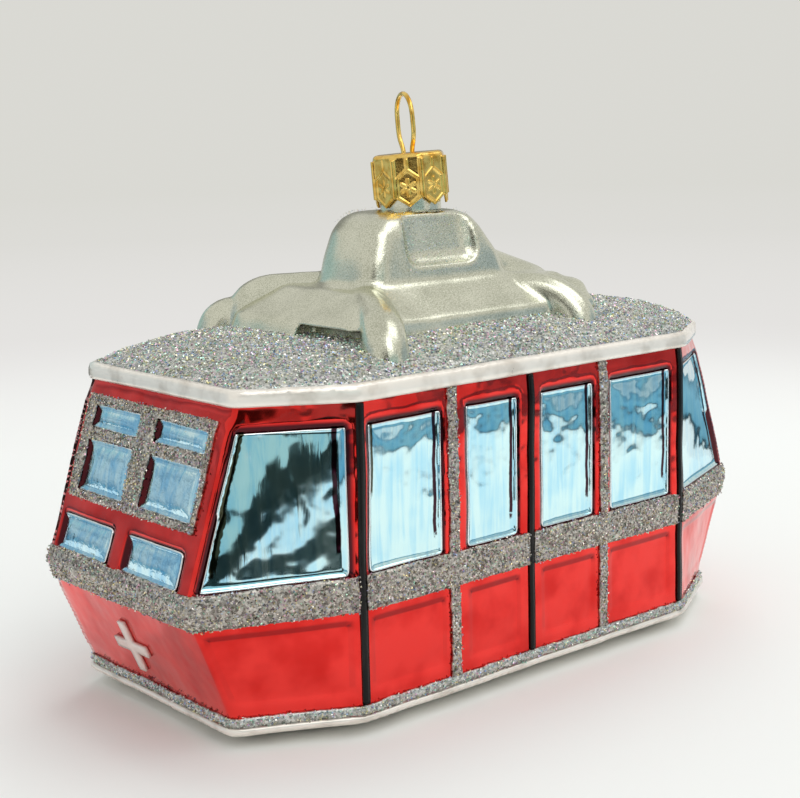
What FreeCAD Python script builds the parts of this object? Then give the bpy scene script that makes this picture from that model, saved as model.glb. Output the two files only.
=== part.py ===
import FreeCAD, Part
import math
import os
from collections import namedtuple

# Glass tree ornament in the shape of a small cable car cabin, in millimetres.
# +X is the front with the cross, +Y is one long side, +Z is up.
# The origin is the centre of the flat base, on the surface it stands on.
# The cabin is a hollow blown shell, eight-sided in plan, whose two ends come
# to a ridge at the belt. A moulded carriage and the neck stand on the roof,
# and a stamped metal cap with a wire loop is pushed over the neck.
# Everything else is a coat on the glass: enamel, lacquer panes and glitter.

Vector = FreeCAD.Vector

# ---- cabin shell ----
GLASS_WALL = 1.0             # blown wall behind a recess
RECESS = 0.7                 # depth of the window and panel recesses
BELT_HALF_LENGTH = 50.8      # centre to the ridge at the belt, front and rear
SILL_HALF_LENGTH = 44.9
EAVE_HALF_LENGTH = 43.0
HALF_WIDTH = 24.4            # centre to a long side
NOSE_HALF = 16.6             # half width of the flat front and rear faces
SIDE_HALF = 30.6             # half length of the flat long sides
SILL_Z = 4.0                 # lower edge of the red walls
BELT_Z = 18.6
EAVE_Z = 41.7                # lower edge of the roof rim

# ---- base and rim enamel ----
BASE_INSET = 4.2             # flat base, in from the foot of the walls
BASE_EDGE_Z = 1.1            # lower edge of the white trim
TRIM_OUT = 0.55              # trim stands this far out of the wall
TRIM_WIDE_Z = 2.2
ENAMEL = 0.5                 # thickness under the base
RIM_OUT = 0.9                # roof rim, out from the wall
RIM_HEIGHT = 2.1
RIM_ROUND = 0.35             # set back of the rim's upper and lower edges

# ---- roof crown: how far in from the wall, and how high above the rim ----
CROWN_EDGE = (0.2, 0.1)
CROWN_SHOULDER = (2.6, 2.2)
CROWN_SLOPE = (7.6, 3.8)
CROWN_TOP = (13.5, 4.7)

# ---- coats ----
GLITTER = 0.45               # thickness of a glitter coat
LACQUER = 0.25               # thickness of a lacquer pane
LINE = 0.3                   # thickness of a painted black line
SEAT = 0.03                  # every coat lies this far off the glass
PANE_GAP = 0.06              # around a pane, inside its recess
TILE_GAP = 0.1               # between two coats that meet edge to edge

# ---- long sides: four bays, a window over a panel in each ----
# front and rear edge of each bay, along x; the moulder didn't space them evenly
BAYS = ((28.8, 16.5), (12.4, 3.0), (-1.2, -11.7), (-14.9, -28.0))
WINDOW_BOTTOM_Z = 20.4
WINDOW_TOP_Z = 39.6
PANEL_BOTTOM_Z = 5.4
PANEL_TOP_Z = 15.0
POST_HALF = 0.55             # half width of a black post
SPARKLE_POST_HALF = 0.75     # half width of a glitter post
BLACK_POSTS = (SIDE_HALF - POST_HALF, 0.8, POST_HALF - SIDE_HALF)
SPARKLE_POSTS = (15.0, -13.4)
POST_END = 0.5               # posts stop this far from rim and sill line

# ---- glitter belt and sill line ----
BELT_UP = 1.6
BELT_DOWN = 2.5
SILL_LINE = 1.2              # height of the glitter line at the sill

# ---- corner faces ----
CORNER_SIDE_MARGIN = 1.1     # frame next to the long side
CORNER_NOSE_MARGIN = 0.8     # frame next to the nose

# ---- nose faces: two rows of panes in a glitter frame, two panes below ----
# columns are (from, to) along y; the frame and the cross sit a little to -Y
NOSE_FRAME = (-15.5, 14.4)
NOSE_FRAME_BOTTOM_Z = 27.3
NOSE_FRAME_TOP_Z = 40.3
PANE_COLUMNS = ((-13.9, -2.6), (1.2, 13.3))
PANE_ROWS = ((28.2, 34.8), (36.2, 39.2))
LOW_PANE_COLUMNS = ((-15.8, -2.9), (0.5, 13.4))
LOW_PANE_BOTTOM_Z = 20.4
LOW_PANE_TOP_Z = 25.0
CROSS_Y = -2.2
CROSS_Z = 9.3
CROSS_ARM = 3.7
CROSS_HALF = 0.75

# ---- carriage on the roof: a rise is a height over the eave ----
SADDLE_HALF_LENGTH = 22.5
SADDLE_HALF_WIDTH = 14.4
SADDLE_FOOT_RISE = 2.3       # the saddle and the legs start inside the roof
SADDLE_EDGE_RISE = 8.1
SADDLE_TOP_RISE = 11.9
SADDLE_TOP_HALF_LENGTH = 17.6
SADDLE_TOP_HALF_WIDTH = 9.4
SADDLE_ROUND = 2.5
LEG_RADIUS = 3.1
LEG_ANGLE = 41.0             # degrees off the long axis, in plan
LEG_REACH = 26.4             # centre of the ornament to the axis of a foot
LEG_BEND = 6.2
LEG_AXIS_RISE = 7.5
LEG_ROOT = 2.0               # a leg goes on this far under the saddle's foot
SLOT_START = 3.5             # recess in the front and rear skirts
SLOT_WIDTH = 9.5
SLOT_DEPTH = 1.6
SLOT_TOP_RISE = 7.3
SLOT_BOTTOM_RISE = -0.7      # under the roof coat, so the slot meets the roof
SIDE_PANEL_LENGTH = 12.0     # recess in each flank of the hump
SIDE_PANEL_X = -1.2
SIDE_PANEL_BOTTOM_RISE = 13.5
SIDE_PANEL_TOP_RISE = 20.3
SIDE_PANEL_HALF = 6.5        # centre to the floor of that recess
CARRIAGE_WALL = 1.2
ROOF_HOLE_HALF_LENGTH = 13.0
ROOF_HOLE_HALF_WIDTH = 6.4
BEYOND = 12.0                # cutting blocks go on this far past what they cut

# columns: rise, half_length, half_width, corner, centre_x
HUMP_RISES = [
    (8.8, 17.4, 9.2, 4.0, -1.0),
    (12.9, 16.0, 8.3, 4.0, -1.0),
    (16.3, 13.8, 7.8, 4.0, -0.6),
    (19.3, 12.0, 7.2, 4.0, 0.0),
    (20.7, 9.8, 6.2, 4.0, 0.4),
    (21.2, 7.4, 5.2, 4.0, 0.6),
]

# ---- neck, cap and wire ----
NECK_RADIUS = 4.3
NECK_BORE = 3.4
NECK_HEIGHT = 7.1            # over the hump
CAP_HALF = 4.95              # centre to a flat panel of the cap
CAP_SHEET = 0.35
CAP_HEIGHT = 7.4
CAP_SEAT = 0.45              # cap's top over the neck's rim
CAP_PANELS = 8
CAP_ROUND = 0.6              # rounding of the cap's top edge
CAP_NOTCH = 1.4              # from the points of the skirt up to its notches
CAP_LEAN = 4.0               # degrees, the cap sits a little askew
CAP_LEAN_TOWARDS = -41.0     # degrees from +X
EMBOSS = 0.14                # height of the embossed lines over a panel
EMBOSS_LINE = 0.26           # width of an embossed line
HEXAGON_HALF = 1.5
HEXAGON_LOW = 0.3            # lowest corner of a hexagon, over the cap's points
HEXAGON_HIGH = 5.2
HEXAGON_RISE = 1.15          # from its lowest or highest corner to its sides
STAR_RAY = 1.05
FLUTE_TOP = 0.9              # a flute ends this far under the cap's top
WIRE_RADIUS = 0.34
WIRE_HOLE = 0.5
LOOP_ANGLE = 69.0            # degrees from +X to the plane of the loop
LOOP_FOOT = 1.75             # centre to a leg where it leaves the cap
LOOP_HALF = 3.1              # centre to the wire at the loop's widest
LOOP_HEIGHT = 8.5
LOOP_KNEE = 2.2              # the loop is at its widest from here up
WIRE_PLUMB = 0.5             # the wire stands straight in its hole
WIRE_SPLAY_TOP = 0.8         # under the cap's top the legs start to spread
WIRE_SPLAY_END = 3.0
LEG_SPREAD = 2.85            # centre to a spring leg inside the neck
LEG_LENGTH = 8.5

Level = namedtuple("Level", "z half_length half_width nose corner")


def wall_level(z, half_length):
    return Level(z, half_length, HALF_WIDTH, NOSE_HALF, SIDE_HALF)


SILL = wall_level(SILL_Z, SILL_HALF_LENGTH)
BELT = wall_level(BELT_Z, BELT_HALF_LENGTH)
EAVE = wall_level(EAVE_Z, EAVE_HALF_LENGTH)
RIM_TOP_Z = EAVE_Z + RIM_HEIGHT


def moved(level, inset, z):
    """The same outline with every side moved in by inset, at height z."""
    run = level.half_length - level.corner
    rise = level.half_width - level.nose
    size = math.hypot(run, rise)
    normal_x, normal_y = rise / size, run / size
    reach = normal_x * level.half_length + normal_y * level.nose - inset
    half_length = level.half_length - inset
    half_width = level.half_width - inset
    nose = (reach - normal_x * half_length) / normal_y
    corner = (reach - normal_y * half_width) / normal_x
    return Level(z, half_length, half_width, nose, corner)


def outline(level):
    """Closed eight-sided wire of a level."""
    quarter = [(level.half_length, level.nose), (level.corner, level.half_width)]
    corners = quarter
    corners = corners + [(-x, y) for x, y in reversed(quarter)]
    corners = corners + [(-x, -y) for x, y in quarter]
    corners = corners + [(x, -y) for x, y in reversed(quarter)]
    points = [Vector(x, y, level.z) for x, y in corners]
    return Part.makePolygon(points + [points[0]])


def lofted(levels):
    return Part.makeLoft([outline(level) for level in levels], True, True)


def wall_at(z):
    """Level of the outer wall at height z, between sill, belt and eave."""
    low, high = (SILL, BELT) if z < BELT_Z else (BELT, EAVE)
    share = (z - low.z) / (high.z - low.z)
    return wall_level(z, low.half_length + share * (high.half_length - low.half_length))


def heights(low, high):
    """Heights that a coat from low to high needs: the ridge is one of them."""
    return [low, BELT_Z, high] if low < BELT_Z < high else [low, high]


# ---- places on the walls ----
# A face is named by its end points in plan, going round against the clock.
# A place along it is (share, offset): a share of its length plus millimetres.

def face_ends(face, level):
    if face == "nose":
        return Vector(level.half_length, -level.nose, 0), Vector(level.half_length, level.nose, 0)
    if face == "side":
        return Vector(level.corner, level.half_width, 0), Vector(-level.corner, level.half_width, 0)
    return Vector(level.half_length, level.nose, 0), Vector(level.corner, level.half_width, 0)


def face_point(face, z, place, out):
    """Point at height z, at a place along the face, out from its surface."""
    start, end = face_ends(face, wall_at(z))
    along = end - start
    length = along.Length
    along.normalize()
    outward = Vector(along.y, -along.x, 0)
    share, offset = place
    point = start + along * (share * length + offset) + outward * out
    return Vector(point.x, point.y, z)


def wall_block(face, first, last, low, high, inner, outer):
    """Solid on a face between two places and heights, from inner to outer."""
    wires = []
    for z in heights(low, high):
        ring = [
            face_point(face, z, first, inner),
            face_point(face, z, last, inner),
            face_point(face, z, last, outer),
            face_point(face, z, first, outer),
        ]
        wires.append(Part.makePolygon(ring + [ring[0]]))
    return Part.makeLoft(wires, True, True)


def mirrored(shape, *normals):
    for normal in normals:
        shape = shape.mirror(Vector(0, 0, 0), normal)
    return shape


ACROSS_X = Vector(1, 0, 0)
ACROSS_Y = Vector(0, 1, 0)
CORNERS = {
    "front_left": (),
    "front_right": (ACROSS_Y,),
    "rear_left": (ACROSS_X,),
    "rear_right": (ACROSS_X, ACROSS_Y),
}
SIDES = {"left": (), "right": (ACROSS_Y,)}
NOSES = {"front": (), "rear": (ACROSS_X,)}

Opening = namedtuple("Opening", "face first last low high")


def middle(offset):
    return (0.5, offset)


def bay_openings(low, high):
    """Openings from low to high in every bay of the +Y side."""
    return [Opening("side", middle(-front), middle(-rear), low, high) for front, rear in BAYS]


SIDE_WINDOWS = bay_openings(WINDOW_BOTTOM_Z, WINDOW_TOP_Z)
SIDE_PANELS = bay_openings(PANEL_BOTTOM_Z, PANEL_TOP_Z)
CORNER_ENDS = ((0.0, CORNER_NOSE_MARGIN), (1.0, -CORNER_SIDE_MARGIN))
CORNER_WINDOW = Opening("corner", *CORNER_ENDS, WINDOW_BOTTOM_Z, WINDOW_TOP_Z)
CORNER_PANEL = Opening("corner", *CORNER_ENDS, PANEL_BOTTOM_Z, PANEL_TOP_Z)


def nose_openings(columns, rows):
    """One opening on the nose for each column and row."""
    return [Opening("nose", middle(a), middle(b), low, high) for a, b in columns for low, high in rows]


NOSE_PANES = nose_openings(PANE_COLUMNS, PANE_ROWS)
LOW_PANES = nose_openings(LOW_PANE_COLUMNS, ((LOW_PANE_BOTTOM_Z, LOW_PANE_TOP_Z),))


def recess_cut(opening):
    return wall_block(*opening, -RECESS, 1.0)


def pane(opening):
    """Lacquer pane on the floor of a recess."""
    first = (opening.first[0], opening.first[1] + PANE_GAP)
    last = (opening.last[0], opening.last[1] - PANE_GAP)
    low, high = opening.low + PANE_GAP, opening.high - PANE_GAP
    back = SEAT - RECESS
    return wall_block(opening.face, first, last, low, high, back, back + LACQUER)


# ---- cabin glass ----

def crown_levels(lower, inset):
    """Levels of the roof crown, all moved in and down."""
    levels = []
    for step_in, rise in (CROWN_EDGE, CROWN_SHOULDER, CROWN_SLOPE, CROWN_TOP):
        levels.append(moved(EAVE, step_in + inset, RIM_TOP_Z + rise - lower))
    return levels


def shell_levels(inset, floor_z, drop):
    """Levels of the whole cabin from its floor to its crown."""
    levels = [
        moved(SILL, BASE_INSET + inset, floor_z),
        moved(SILL, inset, TRIM_WIDE_Z + ENAMEL / 2 + (floor_z - ENAMEL) * 0.5),
        moved(SILL, inset, SILL_Z),
        moved(BELT, inset, BELT_Z),
        moved(EAVE, inset, EAVE_Z),
    ]
    return levels + crown_levels(drop, inset)


def cabin_glass():
    outer = lofted(shell_levels(0.0, ENAMEL, GLITTER))
    inner_inset = RECESS + GLASS_WALL
    inner = lofted(shell_levels(inner_inset, ENAMEL + GLASS_WALL, GLITTER + GLASS_WALL))
    hole = rounded_slab(ROOF_HOLE_HALF_LENGTH, ROOF_HOLE_HALF_WIDTH, SADDLE_ROUND, EAVE_Z)
    hole = hole.extrude(Vector(0, 0, SADDLE_EDGE_RISE))
    cuts = []
    for flips in SIDES.values():
        cuts += [mirrored(recess_cut(item), *flips) for item in SIDE_WINDOWS + SIDE_PANELS]
    for flips in CORNERS.values():
        cuts += [mirrored(recess_cut(item), *flips) for item in (CORNER_WINDOW, CORNER_PANEL)]
    for flips in NOSES.values():
        cuts += [mirrored(recess_cut(item), *flips) for item in NOSE_PANES + LOW_PANES]
    return outer.cut(cuts).cut([inner, hole])


# ---- enamel ----

def base_enamel():
    """White trim round the foot of the walls, with the underside."""
    edge = moved(SILL, -TRIM_OUT * 0.4, BASE_EDGE_Z)
    wide = moved(SILL, -TRIM_OUT, TRIM_WIDE_Z)
    top = moved(SILL, -TRIM_OUT * 0.6, SILL_Z - SILL_LINE - TILE_GAP)
    outer = lofted([moved(SILL, BASE_INSET, 0.0), edge, wide, top])
    glass = lofted([
        moved(SILL, BASE_INSET - SEAT, ENAMEL - SEAT),
        moved(SILL, -SEAT, TRIM_WIDE_Z + ENAMEL / 2 - SEAT),
        moved(SILL, -SEAT, SILL_Z),
    ])
    return outer.cut(glass)


def roof_rim():
    """Rounded white rim round the eaves."""
    levels = [
        moved(EAVE, RIM_ROUND - RIM_OUT, EAVE_Z),
        moved(EAVE, -RIM_OUT, EAVE_Z + RIM_ROUND),
        moved(EAVE, -RIM_OUT, RIM_TOP_Z - RIM_ROUND),
        moved(EAVE, RIM_ROUND - RIM_OUT, RIM_TOP_Z),
    ]
    hole = lofted([moved(EAVE, -SEAT, EAVE_Z - 1), moved(EAVE, -SEAT, RIM_TOP_Z + 1)])
    return lofted(levels).cut(hole)


# ---- glitter coats on the cabin ----

def belt_ring():
    top = wall_at(BELT_Z + BELT_UP)
    bottom = wall_at(BELT_Z - BELT_DOWN)
    outer = [moved(level, -GLITTER, level.z) for level in (bottom, BELT, top)]
    beyond = [wall_at(BELT_Z - BELT_DOWN - 1), BELT, wall_at(BELT_Z + BELT_UP + 1)]
    inner = [moved(level, -SEAT, level.z) for level in beyond]
    return lofted(outer).cut(lofted(inner))


def post_slot(x, half_width):
    """Tall block on the +Y side that a post keeps clear of other coats."""
    reach = half_width + TILE_GAP
    return Part.makeBox(2 * reach, 2 * BEYOND, EAVE_Z, Vector(x - reach, HALF_WIDTH - BEYOND, 0))


def belt_pieces():
    """Belt cut at the black posts: two ends and two lengths on each side."""
    slots = []
    for flips in SIDES.values():
        slots += [mirrored(post_slot(x, POST_HALF), *flips) for x in BLACK_POSTS]
    return belt_ring().cut(slots).Solids


def side_post(x, half_width, low, high, thickness):
    return wall_block("side", middle(-x - half_width), middle(-x + half_width), low, high, SEAT, thickness)


def black_post(x):
    return side_post(x, POST_HALF, SILL_Z + TILE_GAP, EAVE_Z - POST_END, LINE)


def sparkle_post(x):
    """Two lengths of glitter, over and under the belt."""
    over = side_post(x, SPARKLE_POST_HALF, BELT_Z + BELT_UP + TILE_GAP, EAVE_Z - POST_END, GLITTER)
    under = side_post(x, SPARKLE_POST_HALF, SILL_Z + TILE_GAP, BELT_Z - BELT_DOWN - TILE_GAP, GLITTER)
    return Part.Compound([over, under])


def sill_line():
    low = SILL_Z - SILL_LINE
    outer = lofted([moved(SILL, -GLITTER, low), moved(SILL, -GLITTER, SILL_Z)])
    inner = lofted([moved(SILL, -SEAT, low - 1), moved(SILL, -SEAT, SILL_Z + 1)])
    return outer.cut(inner)


def nose_glitter():
    """Glitter frame with its mullion and crossbar, on the nose above the belt."""
    first, last = (middle(edge) for edge in NOSE_FRAME)
    sheet = wall_block("nose", first, last, NOSE_FRAME_BOTTOM_Z, NOSE_FRAME_TOP_Z, SEAT, GLITTER)
    holes = [wall_block(*item, -1.0, 1.0) for item in NOSE_PANES]
    return sheet.cut(holes)


def nose_cross():
    """Plain cross in glitter, below the belt."""
    arms = []
    for half_wide, half_high in ((CROSS_ARM, CROSS_HALF), (CROSS_HALF, CROSS_ARM)):
        first, last = middle(CROSS_Y - half_wide), middle(CROSS_Y + half_wide)
        low, high = CROSS_Z - half_high, CROSS_Z + half_high
        arms.append(wall_block("nose", first, last, low, high, SEAT, GLITTER))
    return arms[0].fuse(arms[1]).removeSplitter()


# ---- carriage ----

SADDLE_FOOT_Z = EAVE_Z + SADDLE_FOOT_RISE
SADDLE_EDGE_Z = EAVE_Z + SADDLE_EDGE_RISE
SADDLE_TOP_Z = EAVE_Z + SADDLE_TOP_RISE
HUMP_SECTIONS = [(EAVE_Z + rise,) + tuple(rest) for rise, *rest in HUMP_RISES]
HUMP_TOP_Z = HUMP_SECTIONS[-1][0]

# columns: z, half_length, half_width, corner, centre_x
SADDLE_SECTIONS = [
    (SADDLE_FOOT_Z, SADDLE_HALF_LENGTH, SADDLE_HALF_WIDTH, SADDLE_ROUND, 0.0),
    (SADDLE_EDGE_Z, SADDLE_HALF_LENGTH, SADDLE_HALF_WIDTH, SADDLE_ROUND, 0.0),
    (SADDLE_TOP_Z, SADDLE_TOP_HALF_LENGTH, SADDLE_TOP_HALF_WIDTH, SADDLE_ROUND, 0.0),
]


def rounded_slab(half_length, half_width, corner, z, centre_x=0.0):
    """Rounded rectangle as a face at height z."""
    across, along = half_width - corner, half_length - corner
    edges = []
    # each corner: its centre, and the direction of the side that leads to it
    for x, y, turn in ((along, -across, -90), (along, across, 0), (-along, across, 90), (-along, -across, 180)):
        arc = []
        for step in (0, 45, 90):
            angle = math.radians(turn + step)
            arc.append(Vector(centre_x + x + corner * math.cos(angle), y + corner * math.sin(angle), z))
        if edges:
            edges.append(Part.makeLine(last, arc[0]))
        edges.append(Part.Arc(*arc).toShape())
        last = arc[2]
    edges.append(Part.makeLine(last, Vector(centre_x + along, -half_width, z)))
    return Part.Face(Part.Wire(edges))


def rounded_loft(sections, inset):
    """Ruled loft of rounded rectangles, each moved in by inset."""
    wires = []
    for z, half_length, half_width, corner, centre_x in sections:
        face = rounded_slab(half_length - inset, half_width - inset, corner - inset, z, centre_x)
        wires.append(face.OuterWire)
    return Part.makeLoft(wires, True, True)


def lowered(sections, drop):
    return [(section[0] - drop,) + tuple(section[1:]) for section in sections]


def leg(turn):
    """Round leg that runs out over the saddle and bends down to the roof."""
    straight = LEG_REACH - LEG_BEND
    top = EAVE_Z + LEG_AXIS_RISE
    bend_middle = LEG_BEND * math.sqrt(0.5)
    path = Part.Wire([
        Part.makeLine((LEG_RADIUS, 0, top), (straight, 0, top)),
        Part.Arc(
            Vector(straight, 0, top),
            Vector(straight + bend_middle, 0, top - LEG_BEND + bend_middle),
            Vector(LEG_REACH, 0, top - LEG_BEND),
        ).toShape(),
        Part.makeLine((LEG_REACH, 0, top - LEG_BEND), (LEG_REACH, 0, SADDLE_FOOT_Z - LEG_ROOT)),
    ])
    circle = Part.makeCircle(LEG_RADIUS, Vector(LEG_RADIUS, 0, top), Vector(1, 0, 0))
    tube = path.makePipeShell([Part.Wire(circle)], True, True)
    tube.rotate(Vector(0, 0, 0), Vector(0, 0, 1), turn)
    return tube


def leg_turns():
    return [LEG_ANGLE, 180 - LEG_ANGLE, 180 + LEG_ANGLE, -LEG_ANGLE]


def roof_surface(lift):
    """Everything under the roof's glass, raised by lift."""
    return lofted([moved(EAVE, -lift, SILL_Z)] + crown_levels(GLITTER - lift, -lift))


def carriage_recesses():
    """Cuts for the skirt slots at both ends and the panel in each flank."""
    slot = Part.makeBox(
        SLOT_DEPTH + BEYOND, SLOT_WIDTH, SLOT_TOP_RISE - SLOT_BOTTOM_RISE,
        Vector(SADDLE_HALF_LENGTH - SLOT_DEPTH, SLOT_START, EAVE_Z + SLOT_BOTTOM_RISE),
    )
    panel = Part.makeBox(
        SIDE_PANEL_LENGTH, BEYOND, SIDE_PANEL_TOP_RISE - SIDE_PANEL_BOTTOM_RISE,
        Vector(SIDE_PANEL_X - SIDE_PANEL_LENGTH / 2, SIDE_PANEL_HALF, EAVE_Z + SIDE_PANEL_BOTTOM_RISE),
    )
    return [slot, mirrored(slot, ACROSS_X, ACROSS_Y), panel, mirrored(panel, ACROSS_Y)]


def carriage_glass():
    body = rounded_loft(SADDLE_SECTIONS, 0.0)
    body = body.fuse([leg(turn) for turn in leg_turns()])
    body = body.fuse(rounded_loft(HUMP_SECTIONS, 0.0))
    body = body.cut(carriage_recesses())
    lining = lowered(SADDLE_SECTIONS, CARRIAGE_WALL)
    hollow = rounded_loft(lining, SLOT_DEPTH + CARRIAGE_WALL / 2)
    hollow = hollow.fuse(rounded_loft(lowered(HUMP_SECTIONS, CARRIAGE_WALL), 2 * CARRIAGE_WALL))
    bore = Part.makeCylinder(NECK_BORE, HUMP_TOP_Z - SADDLE_FOOT_Z + BEYOND, Vector(0, 0, SADDLE_FOOT_Z))
    return body.cut([hollow, bore, roof_surface(SEAT)])


def neck_glass():
    """Open neck of the blown glass, standing on the hump."""
    height = NECK_HEIGHT - SEAT
    foot = Vector(0, 0, HUMP_TOP_Z + SEAT)
    return Part.makeCylinder(NECK_RADIUS, height, foot).cut(Part.makeCylinder(NECK_BORE, height, foot))


def roof_glitter():
    coat = lofted(crown_levels(0.0, 0.0))
    plan = rounded_slab(SADDLE_HALF_LENGTH + TILE_GAP, SADDLE_HALF_WIDTH + TILE_GAP, SADDLE_ROUND, EAVE_Z)
    feet = [plan.extrude(Vector(0, 0, BEYOND))]
    for turn in leg_turns():
        angle = math.radians(turn)
        foot = Vector(LEG_REACH * math.cos(angle), LEG_REACH * math.sin(angle), EAVE_Z)
        feet.append(Part.makeCylinder(LEG_RADIUS + TILE_GAP, BEYOND, foot))
        feet.append(leg(turn))
    return coat.cut([roof_surface(SEAT)] + feet)


# ---- cap and wire ----

NECK_TOP_Z = HUMP_TOP_Z + NECK_HEIGHT
CAP_TOP_Z = NECK_TOP_Z + CAP_SEAT + CAP_SHEET
CAP_FOOT_Z = CAP_TOP_Z - CAP_HEIGHT


def lean(shape):
    """The cap and its wire lean about the middle of the cap's skirt."""
    angle = math.radians(CAP_LEAN_TOWARDS)
    axis = Vector(-math.sin(angle), math.cos(angle), 0)
    shape.rotate(Vector(0, 0, CAP_TOP_Z - CAP_HEIGHT / 2), axis, CAP_LEAN)
    return shape


def loop_point(across, z):
    angle = math.radians(LOOP_ANGLE)
    return Vector(across * math.cos(angle), across * math.sin(angle), z)


def panel_turn(number):
    """Direction of a panel of the cap, in degrees from +X."""
    return number * 360.0 / CAP_PANELS


def eight_sided(half, low, high):
    """Upright eight-sided block whose panels lie half from the axis."""
    corner = half / math.cos(math.pi / CAP_PANELS)
    points = []
    for number in range(CAP_PANELS + 1):
        angle = math.radians(panel_turn(number + 0.5))
        points.append(Vector(corner * math.cos(angle), corner * math.sin(angle), low))
    return Part.Face(Part.makePolygon(points)).extrude(Vector(0, 0, high - low))


def embossed_line(start, end):
    """Raised line on the panel that faces +X, between two (y, z) places."""
    across, up = end[0] - start[0], end[1] - start[1]
    length = math.hypot(across, up)
    line = Part.makeBox(
        CAP_SHEET / 2 + EMBOSS, length, EMBOSS_LINE,
        Vector(CAP_HALF - CAP_SHEET / 2, 0, -EMBOSS_LINE / 2),
    )
    line.rotate(Vector(0, 0, 0), Vector(1, 0, 0), math.degrees(math.atan2(up, across)))
    line.translate(Vector(0, start[0], start[1]))
    return line


def embossing():
    """Hexagon with a six-rayed star, and a flute from it to the cap's top."""
    low, high = CAP_FOOT_Z + HEXAGON_LOW, CAP_FOOT_Z + HEXAGON_HIGH
    left, right = (-HEXAGON_HALF, HEXAGON_HALF)
    corners = [
        (0, low), (right, low + HEXAGON_RISE), (right, high - HEXAGON_RISE),
        (0, high), (left, high - HEXAGON_RISE), (left, low + HEXAGON_RISE),
    ]
    lines = [embossed_line(a, b) for a, b in zip(corners, corners[1:] + corners[:1])]
    centre_z = (low + high) / 2
    for turn in (30, 90, 150):
        across = STAR_RAY * math.cos(math.radians(turn))
        up = STAR_RAY * math.sin(math.radians(turn))
        lines.append(embossed_line((-across, centre_z - up), (across, centre_z + up)))
    lines.append(embossed_line((0, high), (0, CAP_TOP_Z - FLUTE_TOP)))
    return lines[0].fuse(lines[1:])


def turned(shape, angle):
    copy = shape.copy()
    copy.rotate(Vector(0, 0, 0), Vector(0, 0, 1), angle)
    return copy


def skirt_notch():
    """Wedge over the edge between two panels, cut out of the skirt."""
    half_step = CAP_HALF * math.tan(math.pi / CAP_PANELS)
    tooth = Part.makePolygon([
        Vector(0, -half_step, CAP_FOOT_Z),
        Vector(0, 0, CAP_FOOT_Z + CAP_NOTCH),
        Vector(0, half_step, CAP_FOOT_Z),
        Vector(0, 0, CAP_FOOT_Z - CAP_NOTCH),
        Vector(0, -half_step, CAP_FOOT_Z),
    ])
    return Part.Face(tooth).extrude(Vector(BEYOND, 0, 0))


def cap():
    shell = eight_sided(CAP_HALF, CAP_FOOT_Z, CAP_TOP_Z)
    top_edges = [edge for edge in shell.Edges if edge.CenterOfMass.z > CAP_TOP_Z - SEAT]
    shell = shell.makeFillet(CAP_ROUND, top_edges)
    inside = eight_sided(CAP_HALF - CAP_SHEET, CAP_FOOT_Z - CAP_SHEET, CAP_TOP_Z - CAP_SHEET)
    raised = embossing()
    notch = skirt_notch()
    shell = shell.fuse([turned(raised, panel_turn(number)) for number in range(CAP_PANELS)])
    cuts = [turned(notch, panel_turn(number + 0.5)) for number in range(CAP_PANELS)]
    for side in (1, -1):
        cuts.append(Part.makeCylinder(WIRE_HOLE, BEYOND, loop_point(side * LOOP_FOOT, CAP_TOP_Z - BEYOND / 2)))
    return lean(shell.cut([inside] + cuts))


def hanger():
    """One length of wire: loop above the cap, two spring legs below it."""
    top = CAP_TOP_Z + LOOP_HEIGHT - WIRE_RADIUS
    side_points = [
        (LEG_SPREAD, CAP_TOP_Z - LEG_LENGTH),
        (LEG_SPREAD, CAP_TOP_Z - WIRE_SPLAY_END),
        (LOOP_FOOT, CAP_TOP_Z - WIRE_SPLAY_TOP),
        (LOOP_FOOT, CAP_TOP_Z + WIRE_PLUMB),
        (LOOP_HALF, CAP_TOP_Z + LOOP_KNEE),
        (LOOP_HALF, top - LOOP_HALF),
    ]
    points = [loop_point(across, z) for across, z in side_points]
    back = [loop_point(-across, z) for across, z in reversed(side_points)]
    edges = [Part.makeLine(a, b) for a, b in zip(points, points[1:])]
    edges.append(Part.Arc(points[-1], loop_point(0, top), back[0]).toShape())
    edges += [Part.makeLine(a, b) for a, b in zip(back, back[1:])]
    path = Part.Wire(edges)
    circle = Part.Wire(Part.makeCircle(WIRE_RADIUS, points[0], Vector(0, 0, 1)))
    wire = path.makePipeShell([circle], True, False, 2)
    return lean(wire)


# ---- all nodes ----

def all_nodes():
    nodes = {
        "cabin_glass": cabin_glass(),
        "carriage_glass": carriage_glass(),
        "neck_glass": neck_glass(),
        "base_enamel": base_enamel(),
        "roof_rim": roof_rim(),
        "roof_glitter": roof_glitter(),
        "sill_glitter": sill_line(),
        "front_cross": nose_cross(),
        "cap": cap(),
        "hanger": hanger(),
    }
    for number, piece in enumerate(belt_pieces(), 1):
        nodes["belt_glitter_%d" % number] = piece
    for side, flips in SIDES.items():
        for number, opening in enumerate(SIDE_WINDOWS, 1):
            nodes["%s_window_%d" % (side, number)] = mirrored(pane(opening), *flips)
        for number, x in enumerate(BLACK_POSTS, 1):
            nodes["%s_black_post_%d" % (side, number)] = mirrored(black_post(x), *flips)
        for number, x in enumerate(SPARKLE_POSTS, 1):
            nodes["%s_glitter_post_%d" % (side, number)] = mirrored(sparkle_post(x), *flips)
    for corner, flips in CORNERS.items():
        nodes["%s_window" % corner] = mirrored(pane(CORNER_WINDOW), *flips)
    for end, flips in NOSES.items():
        nodes["%s_glitter_frame" % end] = mirrored(nose_glitter(), *flips)
        panes = [mirrored(pane(item), *flips) for item in NOSE_PANES]
        nodes["%s_panes" % end] = Part.Compound(panes)
        panes = [mirrored(pane(item), *flips) for item in LOW_PANES]
        nodes["%s_low_panes" % end] = Part.Compound(panes)
    return nodes


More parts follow.
